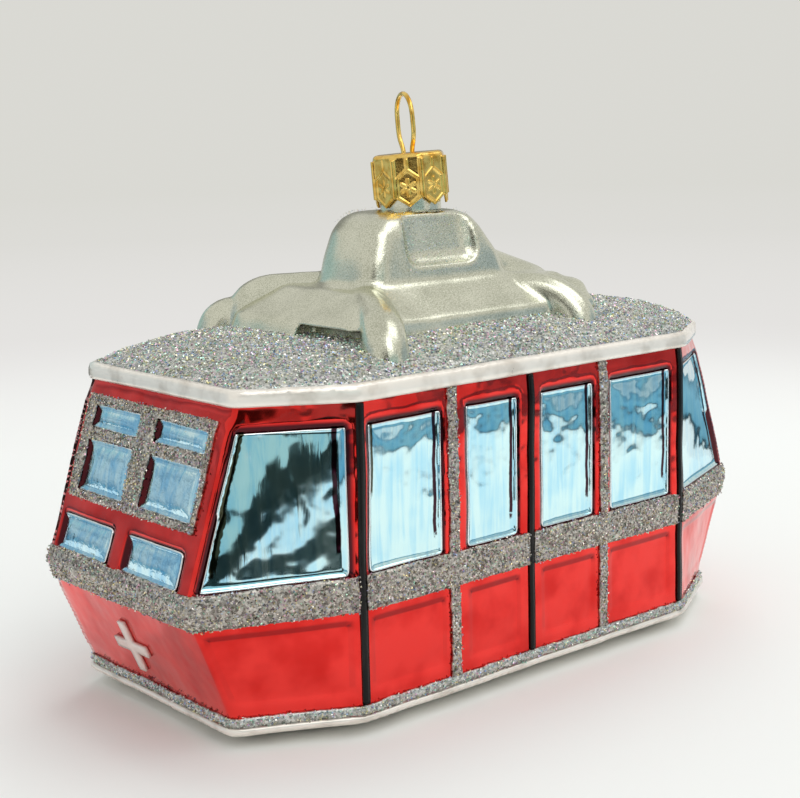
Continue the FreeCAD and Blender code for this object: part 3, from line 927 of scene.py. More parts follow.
@dataclass
class Glitter:
    """Glitter laid on in clear glue: a bed, and loose grains over it."""

    name: str
    bright: Colour
    dark: Colour
    bed_height: float = 0.00030
    grain: float = 0.00036
    flatness: float = 0.45
    cells: int = 40
    glue: bpy.types.Material = field(init=False)
    silver: bpy.types.Material = field(init=False)
    flake: bpy.types.Object = field(init=False)

    def __post_init__(self) -> None:
        """Makes the two finishes and the one flake that all grains copy."""
        deep = tuple(part * 0.55 for part in self.dark)
        light = tuple(part * 0.85 for part in self.bright)
        self.glue = Glue(deep, light).material(f"{self.name}_glue")
        self.silver = Grains(self.bright, self.dark, self.cells).material(f"{self.name}_grains")
        deselect_all()
        bpy.ops.mesh.primitive_cone_add(
            vertices=3, radius1=self.grain / 2, depth=self.grain * self.flatness
        )
        self.flake = bpy.context.object
        self.flake.name = "flake"
        self.flake.data.uv_layers.active.name = "flake_map"
        dress(self.flake, self.silver)

    def bed(self, sheet: bpy.types.Object, name: str, edge: float) -> bpy.types.Object:
        """Thickens a copy of a sheet into the bed of glue.

        Args:
            sheet: faces lifted off the mould.
            name: name of the bed.
            edge: how far its points stray.

        Returns:
            The bed.
        """
        pick(sheet)
        bpy.ops.object.duplicate()
        bed = bpy.context.object
        bed.name = bed.data.name = name
        ragged(bed, 0.0016, edge)
        modify(bed, "SOLIDIFY", thickness=self.bed_height, offset=1.0)
        smooth_shade(bed)
        dress(bed, self.glue)
        return bed

    def sow(self, sheet: bpy.types.Object, seed: int, edge: float, density: float,
            size: float) -> None:
        """Turns a sheet into the grains that lie on it.

        Args:
            sheet: the sheet.
            seed: seed of the random draws.
            edge: how far a grain may stray.
            density: grains a square metre.
            size: size of a grain, as a share of the usual.
        """
        pick(sheet)
        modifier = sheet.modifiers.new("sow", "NODES")
        modifier.node_group = self.sowing(seed, edge, density, size)
        bpy.ops.object.modifier_apply(modifier=modifier.name)

    def sowing(self, seed: int, edge: float, density: float,
               size: float) -> bpy.types.NodeTree:
        """Geometry nodes that scatter the flake over a surface."""
        tree = bpy.data.node_groups.new("sowing", "GeometryNodeTree")
        for way in ("INPUT", "OUTPUT"):
            tree.interface.new_socket("Geometry", in_out=way,
                                      socket_type="NodeSocketGeometry")
        graph = Graph(tree)
        sheet = graph.node("NodeGroupInput")
        points = graph.node(
            "GeometryNodeDistributePointsOnFaces", {"distribute_method": "RANDOM"},
            {"Mesh": sheet, "Density": density, "Seed": seed},
        )
        maker = points.socket.node
        normal = Wire(graph, maker.outputs["Normal"])
        turned = Wire(graph, maker.outputs["Rotation"])

        def chance(low: tuple, high: tuple, draw: int) -> Wire:
            """Random vector for each point."""
            return graph.node(
                "FunctionNodeRandomValue", {"data_type": "FLOAT_VECTOR"},
                {0: low, 1: high, "Seed": seed * 10 + draw},
            )

        lift = graph.node(
            "FunctionNodeRandomValue", {"data_type": "FLOAT"},
            {2: self.bed_height * 0.6, 3: self.bed_height * 1.5, "Seed": seed}, 1,
        )
        upward = graph.vector("SCALE", {0: normal, "Scale": lift})
        stray = chance((-edge,) * 3, (edge,) * 3, 1)
        away = graph.vector("ADD", {0: upward, 1: stray})
        points = graph.node("GeometryNodeSetPosition", None,
                            {"Geometry": points, "Offset": away})
        tilt = graph.node(
            "FunctionNodeEulerToRotation", None,
            {0: chance((-0.75, -0.75, 0.0), (0.75, 0.75, math.tau), 2)},
        )
        turned = graph.node(
            "FunctionNodeRotateRotation", {"rotation_space": "LOCAL"}, {0: turned, 1: tilt}
        )
        flake = graph.node("GeometryNodeObjectInfo", None, {"Object": self.flake},
                           "Geometry")
        grains = graph.node(
            "GeometryNodeInstanceOnPoints", None,
            {"Points": points, "Instance": flake, "Rotation": turned,
             "Scale": chance((0.65 * size,) * 3, (1.25 * size,) * 3, 3)},
        )
        drawn = chance((0.0,) * 3, (self.cells - 1e-3,) * 3, 4)
        cell = graph.vector("FLOOR", {0: drawn})
        grains = graph.node(
            "GeometryNodeStoreNamedAttribute",
            {"data_type": "FLOAT_VECTOR", "domain": "INSTANCE"},
            {"Geometry": grains, "Name": "cell", "Value": cell},
        )
        grains = graph.node("GeometryNodeRealizeInstances", None, {"Geometry": grains})
        named = {"data_type": "FLOAT_VECTOR"}
        cell = graph.node("GeometryNodeInputNamedAttribute", named, {"Name": "cell"})
        spot = graph.node("GeometryNodeInputNamedAttribute", named, {"Name": "flake_map"})
        spot = graph.vector("MULTIPLY_ADD", {0: spot, 1: (0.8,) * 3, 2: (0.1,) * 3})
        spot = graph.vector("ADD", {0: spot, 1: cell})
        spot = graph.vector("SCALE", {0: spot, "Scale": 1.0 / self.cells})
        grains = graph.node(
            "GeometryNodeStoreNamedAttribute",
            {"data_type": "FLOAT2", "domain": "CORNER"},
            {"Geometry": grains, "Name": "OFBake", "Value": spot},
        )
        for name in ("cell", "flake_map"):
            grains = graph.node("GeometryNodeRemoveAttribute", None,
                                {"Geometry": grains, "Name": name})
        graph.node("NodeGroupOutput", None, {"Geometry": grains})
        return tree

    def lay(self, sheet: bpy.types.Object, name: str, seed: int, nodes: list[str],
            density: float = 18.0e6, size: float = 1.0, edge: float = 0.00035) -> None:
        """Lays glitter where a sheet lies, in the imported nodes' place.

        Args:
            sheet: faces lifted off the mould; it is used up.
            name: what the names of the bed and the grains start with.
            seed: seed of the random draws.
            nodes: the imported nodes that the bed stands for.
            density: grains a square metre.
            size: size of a grain, as a share of the usual.
            edge: how far the coat strays past its line.
        """
        bed = self.bed(sheet, f"{name}_bed", edge)
        settle(bed, "ornament", "silver_glitter", *nodes)
        self.sow(sheet, seed, edge * 0.5, density, size)
        sheet.name = sheet.data.name = f"{name}_grains"
        dress(sheet, self.silver)
        settle(sheet, "ornament", "silver_glitter")


# ---- the cabin ----

@dataclass
class CabinMould:
    """The glass cabin, from which every coat on it is lifted.

    One quarter is cut at its corner wall and mirrored. The long walls and the
    noses, whose windows aren't evenly spaced, are cut on the whole.
    """

    nose_half: float = 0.0166
    side_half: float = 0.0306
    sill_half_length: float = 0.0449
    eave_half_length: float = 0.0430
    foot_z: float = 0.0008
    trim_z: float = 0.0025
    sill_z: float = 0.0040
    belt_z: float = 0.0186
    eave_z: float = 0.0417
    rim_top_z: float = 0.0438
    sill_line: float = 0.0012
    base_inset: float = 0.0042
    crown: tuple = ((0.0002, 0.0001), (0.0024, 0.0017), (0.0050, 0.0016), (0.0059, 0.0009))
    pane_gap: float = 0.00006
    panel_rows: Span = (0.0054, 0.0150)
    low_row: Span = (0.0204, 0.0250)
    low_columns: tuple[Span, ...] = ((-0.0158, -0.0029), (0.0005, 0.0134))
    pane_rows: tuple[Span, ...] = ((0.0282, 0.0348), (0.0362, 0.0392))
    pane_columns: tuple[Span, ...] = ((-0.0139, -0.0026), (0.0012, 0.0133))
    corner_margins: tuple = (0.0008, 0.0011)
    recess: float = 0.0010
    slope: float = 0.00042
    panel_recess: float = 0.0002
    panel_slope: float = 0.00060
    rim_foot: float = 0.0004
    crown_drop: float = 0.95
    frieze: tuple = (0.0017, 0.0009, 0.0003)
    frieze_lean: float = 0.9975
    belt_over: float = 0.0003
    step: float = 0.00072
    corner_step: float = 0.00085
    rim_step: float = 0.0005
    roof_step: float = 0.0015
    cross_half: float = 0.00075
    far_edge: float = 0.0011
    reveal: float = 0.3
    crown_starts: tuple = (0.004, 0.009, 0.014, 0.019, 0.024)
    softening: int = 4
    uneven: Span = (0.011, 0.0005)
    roof_foot: float = 0.0001
    glass: bpy.types.Object = field(init=False)
    half_length: float = field(init=False)
    half_width: float = field(init=False)
    bays: list[Span] = field(init=False)
    window_rows: Span = field(init=False)
    coats: dict[str, int] = field(default_factory=dict)

    def __post_init__(self) -> None:
        """Reads the cabin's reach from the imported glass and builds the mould."""
        high = box("cabin_glass")[1]
        self.half_length, self.half_width = high.x, high.y
        self.bays = [span(f"left_window_{n}", "x", self.pane_gap) for n in (1, 2, 3, 4)]
        self.window_rows = span("left_window_1", "z", self.pane_gap)
        self.block()
        self.quarter()
        self.cut_corners()
        modify(
            self.glass, "MIRROR", use_axis=(True, True, False), use_mirror_merge=True,
            merge_threshold=1e-5,
        )
        self.cut_walls()
        put_in_order(self.glass)
        self.widen_far_edge()
        self.lower_crown()
        self.sink()
        self.mark()
        self.store_recess_shade()
        soften(self.glass, self.softening)
        wobble(self.glass, *self.uneven)
        self.restore_reach()
        smooth_shade(self.glass)

    def block(self) -> None:
        """Plain eight-sided block: belt, eaves, crown, sill and base."""
        self.glass = plane((0.0, 0.0, self.belt_z), self.half_length, self.half_width)
        self.glass.name = self.glass.data.name = "cabin_shell"
        run, rise = self.half_length - self.side_half, self.half_width - self.nose_half
        with editing(self.glass):
            for way_x in (1.0, -1.0):
                for way_y in (1.0, -1.0):
                    bpy.ops.mesh.select_all(action="SELECT")
                    bisect(
                        (way_x * self.half_length, way_y * self.nose_half, self.belt_z),
                        (way_x * rise, way_y * run, 0.0), clear_outer=True,
                    )
            for height, reach in (
                (self.eave_z, self.eave_half_length), (self.sill_z, self.sill_half_length)
            ):
                choose(self.glass, lambda face: abs(face.normal.z) > 0.9
                       and abs(face.calc_center_median().z - self.belt_z) < FINE)
                extrude((0.0, 0.0, height - self.belt_z))
                self.draw_in(height, reach)
            self.choose_level(self.eave_z)
            extrude((0.0, 0.0, self.rim_top_z - self.eave_z))
            face_outwards()
            self.choose_level(self.rim_top_z)
            for thickness, depth in self.crown:
                bpy.ops.mesh.inset(thickness=thickness, depth=depth)
            self.choose_level(self.sill_z)
            extrude((0.0, 0.0, self.trim_z - self.sill_z))
            self.choose_level(self.trim_z)
            bpy.ops.mesh.inset(thickness=self.base_inset, depth=self.trim_z - self.foot_z)

    def choose_level(self, height: float) -> None:
        """Selects the level face at one height."""
        choose(self.glass, lambda face: abs(face.normal.z) > 0.99
               and abs(face.calc_center_median().z - height) < FINE)

    def draw_in(self, height: float, reach: float) -> None:
        """Moves both noses to their reach at one height."""
        for way in (1.0, -1.0):
            choose(
                self.glass,
                lambda vert, way=way: abs(vert.co.z - height) < FINE
                and vert.co.x * way > self.side_half + FINE,
                "verts",
            )
            shift((way * (reach - self.half_length), 0.0, 0.0))

    def quarter(self) -> None:
        """Keeps the quarter where x and y are positive."""
        with editing(self.glass):
            for normal in ((1.0, 0.0, 0.0), (0.0, 1.0, 0.0)):
                bpy.ops.mesh.select_all(action="SELECT")
                bisect((0.0, 0.0, 0.0), normal, clear_inner=True)

    def reach_at(self, z: float) -> float:
        """Half the cabin's length at a height."""
        heights = (self.sill_z, self.belt_z, self.eave_z)
        reaches = (self.sill_half_length, self.half_length, self.eave_half_length)
        if z <= heights[0] or z >= heights[2]:
            return reaches[0] if z <= heights[0] else reaches[2]
        part = 0 if z < self.belt_z else 1
        share = (z - heights[part]) / (heights[part + 1] - heights[part])
        return reaches[part] + share * (reaches[part + 1] - reaches[part])

    def corner_point(self, z: float, place: tuple[float, float]) -> Vector:
        """Point on the corner wall of the quarter.

        Args:
            z: its height.
            place: share of the way from nose to side, and a distance more.

        Returns:
            The point.
        """
        start = Vector((self.reach_at(z), self.nose_half, z))
        along = Vector((self.side_half, self.half_width, z)) - start
        return start + along * place[0] + along.normalized() * place[1]

    def wall_of(self, centre: Vector) -> Wall:
        """Which wall a point belongs to."""
        if not self.trim_z < centre.z < self.rim_top_z:
            return Wall.FLAT
        if abs(centre.x) < self.side_half:
            return Wall.SIDE
        return Wall.NOSE if abs(centre.y) < self.nose_half else Wall.CORNER

    def cut(self, test: Callable[[Vector], bool], point: tuple, normal: tuple) -> None:
        """Cuts the faces whose centres pass a test."""
        choose(self.glass, lambda face: test(face.calc_center_median()))
        bisect(point, normal)

    def cut_corners(self) -> None:
        """Cuts the quarter's corner wall from top to bottom, band by band."""
        near, far = self.corner_margins
        parts = math.ceil((self.half_length - self.side_half) / self.corner_step)
        shares = [part / parts for part in range(parts + 1)]
        places = [(share, near * (1 - share) - far * share) for share in shares]
        bands = (self.trim_z, self.sill_z, self.belt_z, self.eave_z, self.rim_top_z)
        rise = self.half_width - self.nose_half
        with editing(self.glass):
            for low, high in zip(bands, bands[1:]):
                outward = Vector((rise, self.reach_at(low) - self.side_half, 0.0))
                for place in places:
                    first, last = self.corner_point(low, place), self.corner_point(high, place)
                    self.cut(
                        lambda centre: self.wall_of(centre) is Wall.CORNER
                        and low < centre.z < high,
                        tuple(first), tuple((last - first).cross(outward)),
                    )

    def cut_walls(self) -> None:
        """Cuts walls and roof into small faces whose lines meet every edge."""
        frame_low, frame_high = span("front_glitter_frame", "z")
        belt = span("belt_glitter_1", "z")
        cross_z = sum(span("front_cross", "z")) / 2
        cross_y = sum(span("front_cross", "y")) / 2
        half = self.cross_half
        common = [self.sill_z - self.sill_line, self.sill_z, *self.panel_rows, *belt,
                  self.belt_z, *self.window_rows, self.eave_z]
        nose = [frame_low, frame_high, *self.low_row, *joint(self.pane_rows),
                *span("front_cross", "z"), cross_z - half, cross_z + half]
        marked = (((Wall.SIDE, Wall.CORNER), common), ((Wall.NOSE,), common + nose))
        ends = (self.trim_z, self.rim_top_z)
        posts = joint(span(f"left_black_post_{n}", "x") for n in (1, 2, 3)) + joint(
            span(f"left_glitter_post_{n}", "x") for n in (1, 2)
        )
        with editing(self.glass):
            for walls, heights in marked:
                self.levels(walls, heights)
            self.columns(Wall.SIDE, self.side_half, posts + joint(self.bays), ends)
            cross = [*span("front_cross", "y"), cross_y - half, cross_y + half]
            self.columns(Wall.NOSE, self.nose_half, cross, (ends[0], self.belt_z))
            self.columns(Wall.NOSE, self.nose_half, joint(self.low_columns),
                         (self.belt_z, frame_low))
            frame_marks = [*span("front_glitter_frame", "y"), *joint(self.pane_columns)]
            self.columns(Wall.NOSE, self.nose_half, frame_marks, (frame_low, ends[1]))
            for reach, normal in (
                (self.half_length, (1.0, 0.0, 0.0)), (self.half_width, (0.0, 1.0, 0.0))
            ):
                for place in between([-reach, reach], self.roof_step):
                    self.cut(lambda centre: self.wall_of(centre) is Wall.FLAT,
                             tuple(place * part for part in normal), normal)
            rim = between([self.eave_z, self.rim_top_z], self.rim_step)
            for walls, heights in marked:
                self.levels(walls, between([self.trim_z, *heights], self.step) + rim)

    def levels(self, walls: tuple[Wall, ...], heights: list[float]) -> None:
        """Cuts some walls along level lines."""
        for z in heights:
            self.cut(lambda centre: self.wall_of(centre) in walls,
                     (0.0, 0.0, z), (0.0, 0.0, 1.0))

    def widen_far_edge(self) -> None:
        """Moves the -y edge of both noses a little outwards."""
        with editing(self.glass):
            choose(self.glass, lambda vert: abs(vert.co.x) > self.side_half
                   and abs(vert.co.y + self.nose_half) < 2 * FINE, "verts")
            shift((0.0, -self.far_edge, 0.0))

    def lower_crown(self) -> None:
        """Leans the frieze in and lowers the roof little by little towards the front."""
        with editing(self.glass):
            for depth in self.frieze:
                choose(self.glass, lambda vert, depth=depth: vert.co.z > self.eave_z - depth,
                       "verts")
                resize((self.frieze_lean, self.frieze_lean, 1.0))
            for start in self.crown_starts:
                choose(self.glass, lambda vert, start=start: vert.co.x > start
                       and vert.co.z > self.rim_top_z + FINE, "verts")
                resize((1.0, 1.0, self.crown_drop), (0.0, 0.0, self.rim_top_z))

    def store_recess_shade(self) -> None:
        """Stores painted shade for the recesses: on the slopes, but for the panels' lower ones."""
        mesh = self.glass.data
        floor = mesh.attributes["floor"].data
        sunk = [0.0] * len(mesh.vertices)
        count = [0] * len(mesh.vertices)
        for face in mesh.polygons:
            slope = self.recess_shade_share(floor[face.index].value, face.center.z)
            for vert in face.vertices:
                sunk[vert] += slope
                count[vert] += 1
        values = [total / max(1, number) for total, number in zip(sunk, count)]
        mesh.attributes.new("recess_shade", "FLOAT", "POINT").data.foreach_set("value", values)

    def recess_shade_share(self, kind: int, z: float) -> float:
        """Share of painted shade on a face with a floor mark, at a height."""
        if kind != 3:
            return float(kind == 2)
        if z > self.panel_rows[1] - self.panel_slope:
            return 0.62
        return 0.30 if z > self.panel_rows[0] + self.panel_slope else 0.0

    def columns(self, wall: Wall, half: float, marks: list[float], band: Span) -> None:
        """Cuts a pair of walls along upright lines.

        Args:
            wall: the long walls or the noses.
            half: half the walls' length.
            marks: places where a line has to be.
            band: the heights that the lines run between.
        """
        normal = (1.0, 0.0, 0.0) if wall is Wall.SIDE else (0.0, 1.0, 0.0)
        for place in marks + between([-half, half, *marks], self.step):
            self.cut(
                lambda centre: self.wall_of(centre) is wall and band[0] < centre.z < band[1],
                tuple(place * part for part in normal), normal,
            )

    def in_recess(self, centre: Vector) -> bool:
        """Whether a point of the walls lies in a recess."""
        wall = self.wall_of(centre)
        if wall is Wall.NOSE:
            return (within(self.pane_rows, centre.z) and within(self.pane_columns, centre.y)
                    or within([self.low_row], centre.z) and within(self.low_columns, centre.y))
        if not within((self.window_rows, self.panel_rows), centre.z):
            return False
        if wall is Wall.SIDE:
            return within(self.bays, centre.x)
        start = self.corner_point(centre.z, (0.0, 0.0))
        way = self.corner_point(centre.z, (1.0, 0.0)) - start
        along = (Vector((abs(centre.x), abs(centre.y), centre.z)) - start).dot(way.normalized())
        near, far = self.corner_margins
        return near < along < way.length - far

    def sink(self) -> None:
        """Sinks every recess.

        Window floors are marked with 1, their slopes with 2, and the slopes of the
        lower panels with 3.
        """
        with editing(self.glass):
            bmesh.from_edit_mesh(self.glass.data).faces.layers.int.new("floor")
            choose(self.glass, lambda face: face.calc_center_median().z < self.belt_z
                   and self.in_recess(face.calc_center_median()))
            self.mark_selected(3)
            bpy.ops.mesh.inset(thickness=self.panel_slope, depth=-self.panel_recess)
            self.mark_selected(0)
            choose(self.glass, lambda face: face.calc_center_median().z > self.belt_z
                   and self.in_recess(face.calc_center_median()))
            self.mark_selected(2)
            bpy.ops.mesh.inset(thickness=self.slope, depth=-self.recess)
            self.mark_selected(1)

    def mark_selected(self, number: int) -> None:
        """Writes a number on the selected faces' floor mark."""
        mesh = bmesh.from_edit_mesh(self.glass.data)
        floor = mesh.faces.layers.int["floor"]
        for face in mesh.faces:
            if face.select:
                face[floor] = number
        bmesh.update_edit_mesh(self.glass.data)

    def mark(self) -> None:
        """Gives each face the number of the coat that covers it."""
        mesh = self.glass.data
        mesh.attributes.new("coat", "INT", "FACE")
        floor, coat = mesh.attributes["floor"].data, mesh.attributes["coat"].data
        panes = [(name, *box(name)) for name in BLUE_PANES]
        for face in mesh.polygons:
            sunk = floor[face.index].value
            if sunk in (0, 3):
                name = self.coat_at(face.center)
            elif sunk == 1 or not self.bare(face):
                name = self.pane_at(face.center, panes)
            else:
                name = ""
            if name:
                coat[face.index].value = self.coats.setdefault(name, len(self.coats) + 1)

    def bare(self, face: bpy.types.MeshPolygon) -> bool:
        """Whether a slope stays red: above the side windows and beside the nose panes."""
        if self.wall_of(face.center) is Wall.NOSE:
            return face.normal.y >= self.reveal
        return face.normal.z < -self.reveal

    def pane_at(self, centre: Vector, panes: list, slack: float = 0.0011) -> str:
        """Name of the pane at a point, or nothing."""
        for name, low, high in panes:
            if all(a - slack < c < b + slack for a, c, b in zip(low, centre, high)):
                return name
        return ""

    def coat_at(self, centre: Vector) -> str:
        """Name of the coat at a point outside the panes, or nothing."""
        if centre.z < self.sill_z - self.sill_line:
            return "base_enamel"
        if centre.z < self.sill_z:
            return "sill_glitter"
        if centre.z > self.eave_z + self.rim_foot:
            on_roof = centre.z > self.rim_top_z + self.roof_foot
            return "roof_glitter" if on_roof else "roof_rim"
        side = "left" if centre.y > 0 else "right"
        end = "front" if centre.x > 0 else "rear"
        wall = self.wall_of(centre)
        black = [f"{side}_black_post_{number}" for number in (1, 2, 3)]
        silver = [f"{side}_glitter_post_{number}" for number in (1, 2)]
        if wall is Wall.SIDE:
            for name in black:
                if within([span(name, "x")], centre.x):
                    return name
        belt_low, belt_high = span("belt_glitter_1", "z")
        if belt_low < centre.z < belt_high + self.belt_over:
            return "belt_glitter"
        if wall is Wall.SIDE:
            for name in silver:
                if within([span(name, "x")], centre.x):
                    return name
        if wall is Wall.NOSE and all(
            within([span(f"{end}_glitter_frame", axis)], getattr(centre, axis)) for axis in "yz"
        ):
            return f"{end}_glitter_frame"
        return "front_cross" if wall is Wall.NOSE and self.on_cross(centre) else ""

    def on_cross(self, centre: Vector) -> bool:
        """Whether a point of a nose lies on the front cross."""
        low, high = box("front_cross")
        middle = (low + high) / 2
        across, up = abs(centre.y - middle.y), abs(centre.z - middle.z)
        return centre.x > 0 and min(across, up) < self.cross_half and (
            max(across, up) < high.y - middle.y
        )

    def restore_reach(self) -> None:
        """Grows the mould back to its reach, which the softening took off."""
        size = [max(abs(vert.co[axis]) for vert in self.glass.data.vertices) for axis in (0, 1)]
        with editing(self.glass):
            bpy.ops.mesh.select_all(action="SELECT")
            resize((self.half_length / size[0], self.half_width / size[1], 1.0))

    def sheet(self, coat: str) -> bpy.types.Object:
        """Copies the faces that a coat covers to a new object.

        Args:
            coat: name of the coat.

        Returns:
            The sheet.
        """
        with editing(self.glass):
            mesh = bmesh.from_edit_mesh(self.glass.data)
            layer = mesh.faces.layers.int["coat"]
            if not choose(self.glass, lambda face: face[layer] == self.coats[coat]):
                raise ValueError(f"the mould has no faces for {coat}")
            bpy.ops.mesh.duplicate()
            bpy.ops.mesh.separate(type="SELECTED")
        made = next(o for o in bpy.context.selected_objects if o is not self.glass)
        made.name = made.data.name = coat
        return made


# ---- carriage, cap and loop ----

@dataclass(frozen=True)
class Section:
    """One level of a tapered block, z up from the eaves."""

    rise: float
    half_length: float
    half_width: float
    centre_x: float = 0.0


@dataclass
class Carriage:
    """Moulded carriage on the roof: saddle, hump and bent legs."""

    hump: tuple[Section, ...] = (
        Section(0.0060, 0.0144, 0.0091, 0.0010), Section(0.0124, 0.0136, 0.0087, 0.0014),
        Section(0.0150, 0.0125, 0.0084, 0.0017), Section(0.0187, 0.0104, 0.0075, 0.0022),
        Section(0.0203, 0.0090, 0.0066, 0.0022), Section(0.0212, 0.0070, 0.0050, 0.0022),
    )
    saddle: tuple[Section, ...] = (
        Section(0.0023, 0.0246, 0.0145, 0.0003), Section(0.0076, 0.0232, 0.0144, -0.0006),
        Section(0.0114, 0.0186, 0.0094, -0.0018),
    )
    hump_corners: tuple = ((1, 1, 0.0034), (1, -1, 0.0105), (-1, 1, 0.0046), (-1, -1, 0.0046))
    saddle_corners: tuple = ((1, 1, 0.002), (1, -1, 0.004), (-1, 1, 0.002), (-1, -1, 0.002))
    tail_low: tuple = (-0.0243, -0.0126, 0.0020)
    tail_high: tuple = (-0.0100, 0.0126, 0.0104)
    ridge_low: tuple = (-0.0255, -0.0060, 0.0060)
    ridge_high: tuple = (-0.0070, 0.0060, 0.0148)
    ridge_pivot: tuple = (-0.0136, 0.0, 0.0148)
    ridge_tilt: float = 19.0
    legs: tuple = (
        ((0.0125, 0.0030, 0.0098), (0.0152, 0.0080, 0.0098), (0.0172, 0.0128, 0.0084),
         (0.0198, 0.0170, 0.0068), (0.0208, 0.0187, 0.0034), (0.0208, 0.0187, 0.0002)),
        ((0.0090, -0.0060, 0.0106), (0.0131, -0.0100, 0.0103), (0.0164, -0.0132, 0.0098),
         (0.0184, -0.0150, 0.0078), (0.0187, -0.0152, 0.0040), (0.0187, -0.0152, 0.0002)),
        ((0.0130, -0.0100, 0.0074), (0.0180, -0.0150, 0.0070), (0.0208, -0.0180, 0.0067),
         (0.0217, -0.0187, 0.0034), (0.0217, -0.0187, 0.0002)),
        ((-0.0098, 0.0050, 0.0098), (-0.0124, 0.0096, 0.0097), (-0.0152, 0.0126, 0.0089),
         (-0.0170, 0.0152, 0.0066), (-0.0172, 0.0164, 0.0034), (-0.0172, 0.0164, 0.0002)),
        ((-0.0098, -0.0050, 0.0098), (-0.0128, -0.0096, 0.0097), (-0.0158, -0.0126, 0.0089),
         (-0.0176, -0.0152, 0.0066), (-0.0180, -0.0164, 0.0034), (-0.0180, -0.0164, 0.0002)),
    )
    leg_radius: float = 0.0030
    thin_end: float = 0.80
    slot_low: tuple = (0.0200, 0.0026, -0.0007)
    slot_high: tuple = (0.0270, 0.0146, 0.0072)
    panel_low: tuple = (-0.0056, 0.0074, 0.0132)
    panel_high: tuple = (0.0085, 0.0200, 0.0230)
    panel_tilt: float = 12.0
    tail_rounding: float = 0.0022
    ridge_rounding: float = 0.0030
    slot_rounding: float = 0.0005
    panel_rounding: float = 0.0026
    uneven: Span = (0.008, 0.0004)
    spray_drop: float = 0.0004
    spray_start: float = 0.003
    spray_lean: float = 0.25
    coarse: float = 0.0005
    fine: float = 0.00032
    eave_z: float = field(init=False)
    glass: bpy.types.Object = field(init=False)

    def __post_init__(self) -> None:
        """Builds the carriage."""
        self.eave_z = box("roof_rim")[0].z
        tail = block(self.up(self.tail_low), self.up(self.tail_high), self.tail_rounding)
        ridge = block(self.up(self.ridge_low), self.up(self.ridge_high), self.ridge_rounding)
        turned(ridge, self.up(self.ridge_pivot), -self.ridge_tilt, "Y")
        body = joined([self.stack(self.saddle, self.saddle_corners), tail, ridge,
                       self.stack(self.hump, self.hump_corners)], "carriage")
        remesh(body, self.coarse, 5)
        self.glass = joined([body, *(self.leg(route) for route in self.legs)], "carriage")
        remesh(self.glass, self.fine, 6)
        self.carve()
        remesh(self.glass, self.fine, 3)
        wobble(self.glass, *self.uneven)
        smooth_shade(self.glass)

    def up(self, place: tuple) -> Vector:
        """A place over the eaves, as a place over the floor."""
        return Vector(place) + Vector((0.0, 0.0, self.eave_z))

    def stack(self, sections: tuple[Section, ...], corners: tuple) -> bpy.types.Object:
        """Rounded block that changes its size from level to level.

        Args:
            sections: its levels, from the lowest.
            corners: the way in x and y of each upright edge, and its radius.

        Returns:
            The block.
        """
        first = sections[0]
        piece = plane((first.centre_x, 0.0, self.eave_z + first.rise),
                      first.half_length, first.half_width)
        with editing(piece):
            for way_x, way_y, radius in corners:
                edge = Vector((first.centre_x + way_x * first.half_length,
                               way_y * first.half_width))
                choose(piece, lambda vert, edge=edge: (vert.co.xy - edge).length < FINE, "verts")
                bpy.ops.mesh.bevel(offset=radius, segments=8, affect="VERTICES")
            bpy.ops.mesh.select_all(action="SELECT")
            for below, above in zip(sections, sections[1:]):
                extrude((above.centre_x - below.centre_x, 0.0, above.rise - below.rise))
                resize((above.half_length / below.half_length,
                        above.half_width / below.half_width, 1.0),
                       (above.centre_x, 0.0, 0.0))
            face_outwards()
        return piece

    def leg(self, route: tuple) -> bpy.types.Object:
        """One leg: out of the hump, over the saddle and down to the roof.

        Args:
            route: places of its middle, z up from the eaves.

        Returns:
            The leg.
        """
        points = [self.up(place) for place in route]
        thickness = [self.thin_end] * 2 + [0.9] + [1.0] * (len(points) - 3)
        return tube("leg", points, self.leg_radius, thickness)

    def carve(self) -> None:
        """Cuts the skirt slots and the panels in the flanks."""
        slot = block(self.up(self.slot_low), self.up(self.slot_high), self.slot_rounding)
        low = self.up(self.panel_low)
        panel = block(low, self.up(self.panel_high), self.panel_rounding)
        turned(panel, low, self.panel_tilt, "X")
        other = copies(slot, [around(180.0)]) + copies(
            panel, [Matrix.Scale(-1.0, 4, (0.0, 1.0, 0.0))]
        )
        tools = joined([slot, panel, *other], "carving")
        with editing(tools):
            face_outwards()
        modify(self.glass, "BOOLEAN", operation="DIFFERENCE", object=tools)
        bpy.data.objects.remove(tools)

    def flank(self, way: float) -> bpy.types.Object:
        """Copies the sprayed part of one flank to a new object.

        Args:
            way: 1 for the +y flank, -1 for the other.

        Returns:
            The sheet.
        """
        low, high = Vector(self.panel_low), Vector(self.panel_high)

        def sprayed(face: bmesh.types.BMFace) -> bool:
            """Whether a face lies in the panel or on the shoulder over it."""
            centre = face.calc_center_median()
            return (low.x < centre.x < high.x and centre.y * way > self.spray_start
                    and centre.z > self.eave_z + low.z - self.spray_drop
                    and face.normal.y * way > self.spray_lean)

        return taken(self.glass, sprayed, "flank")


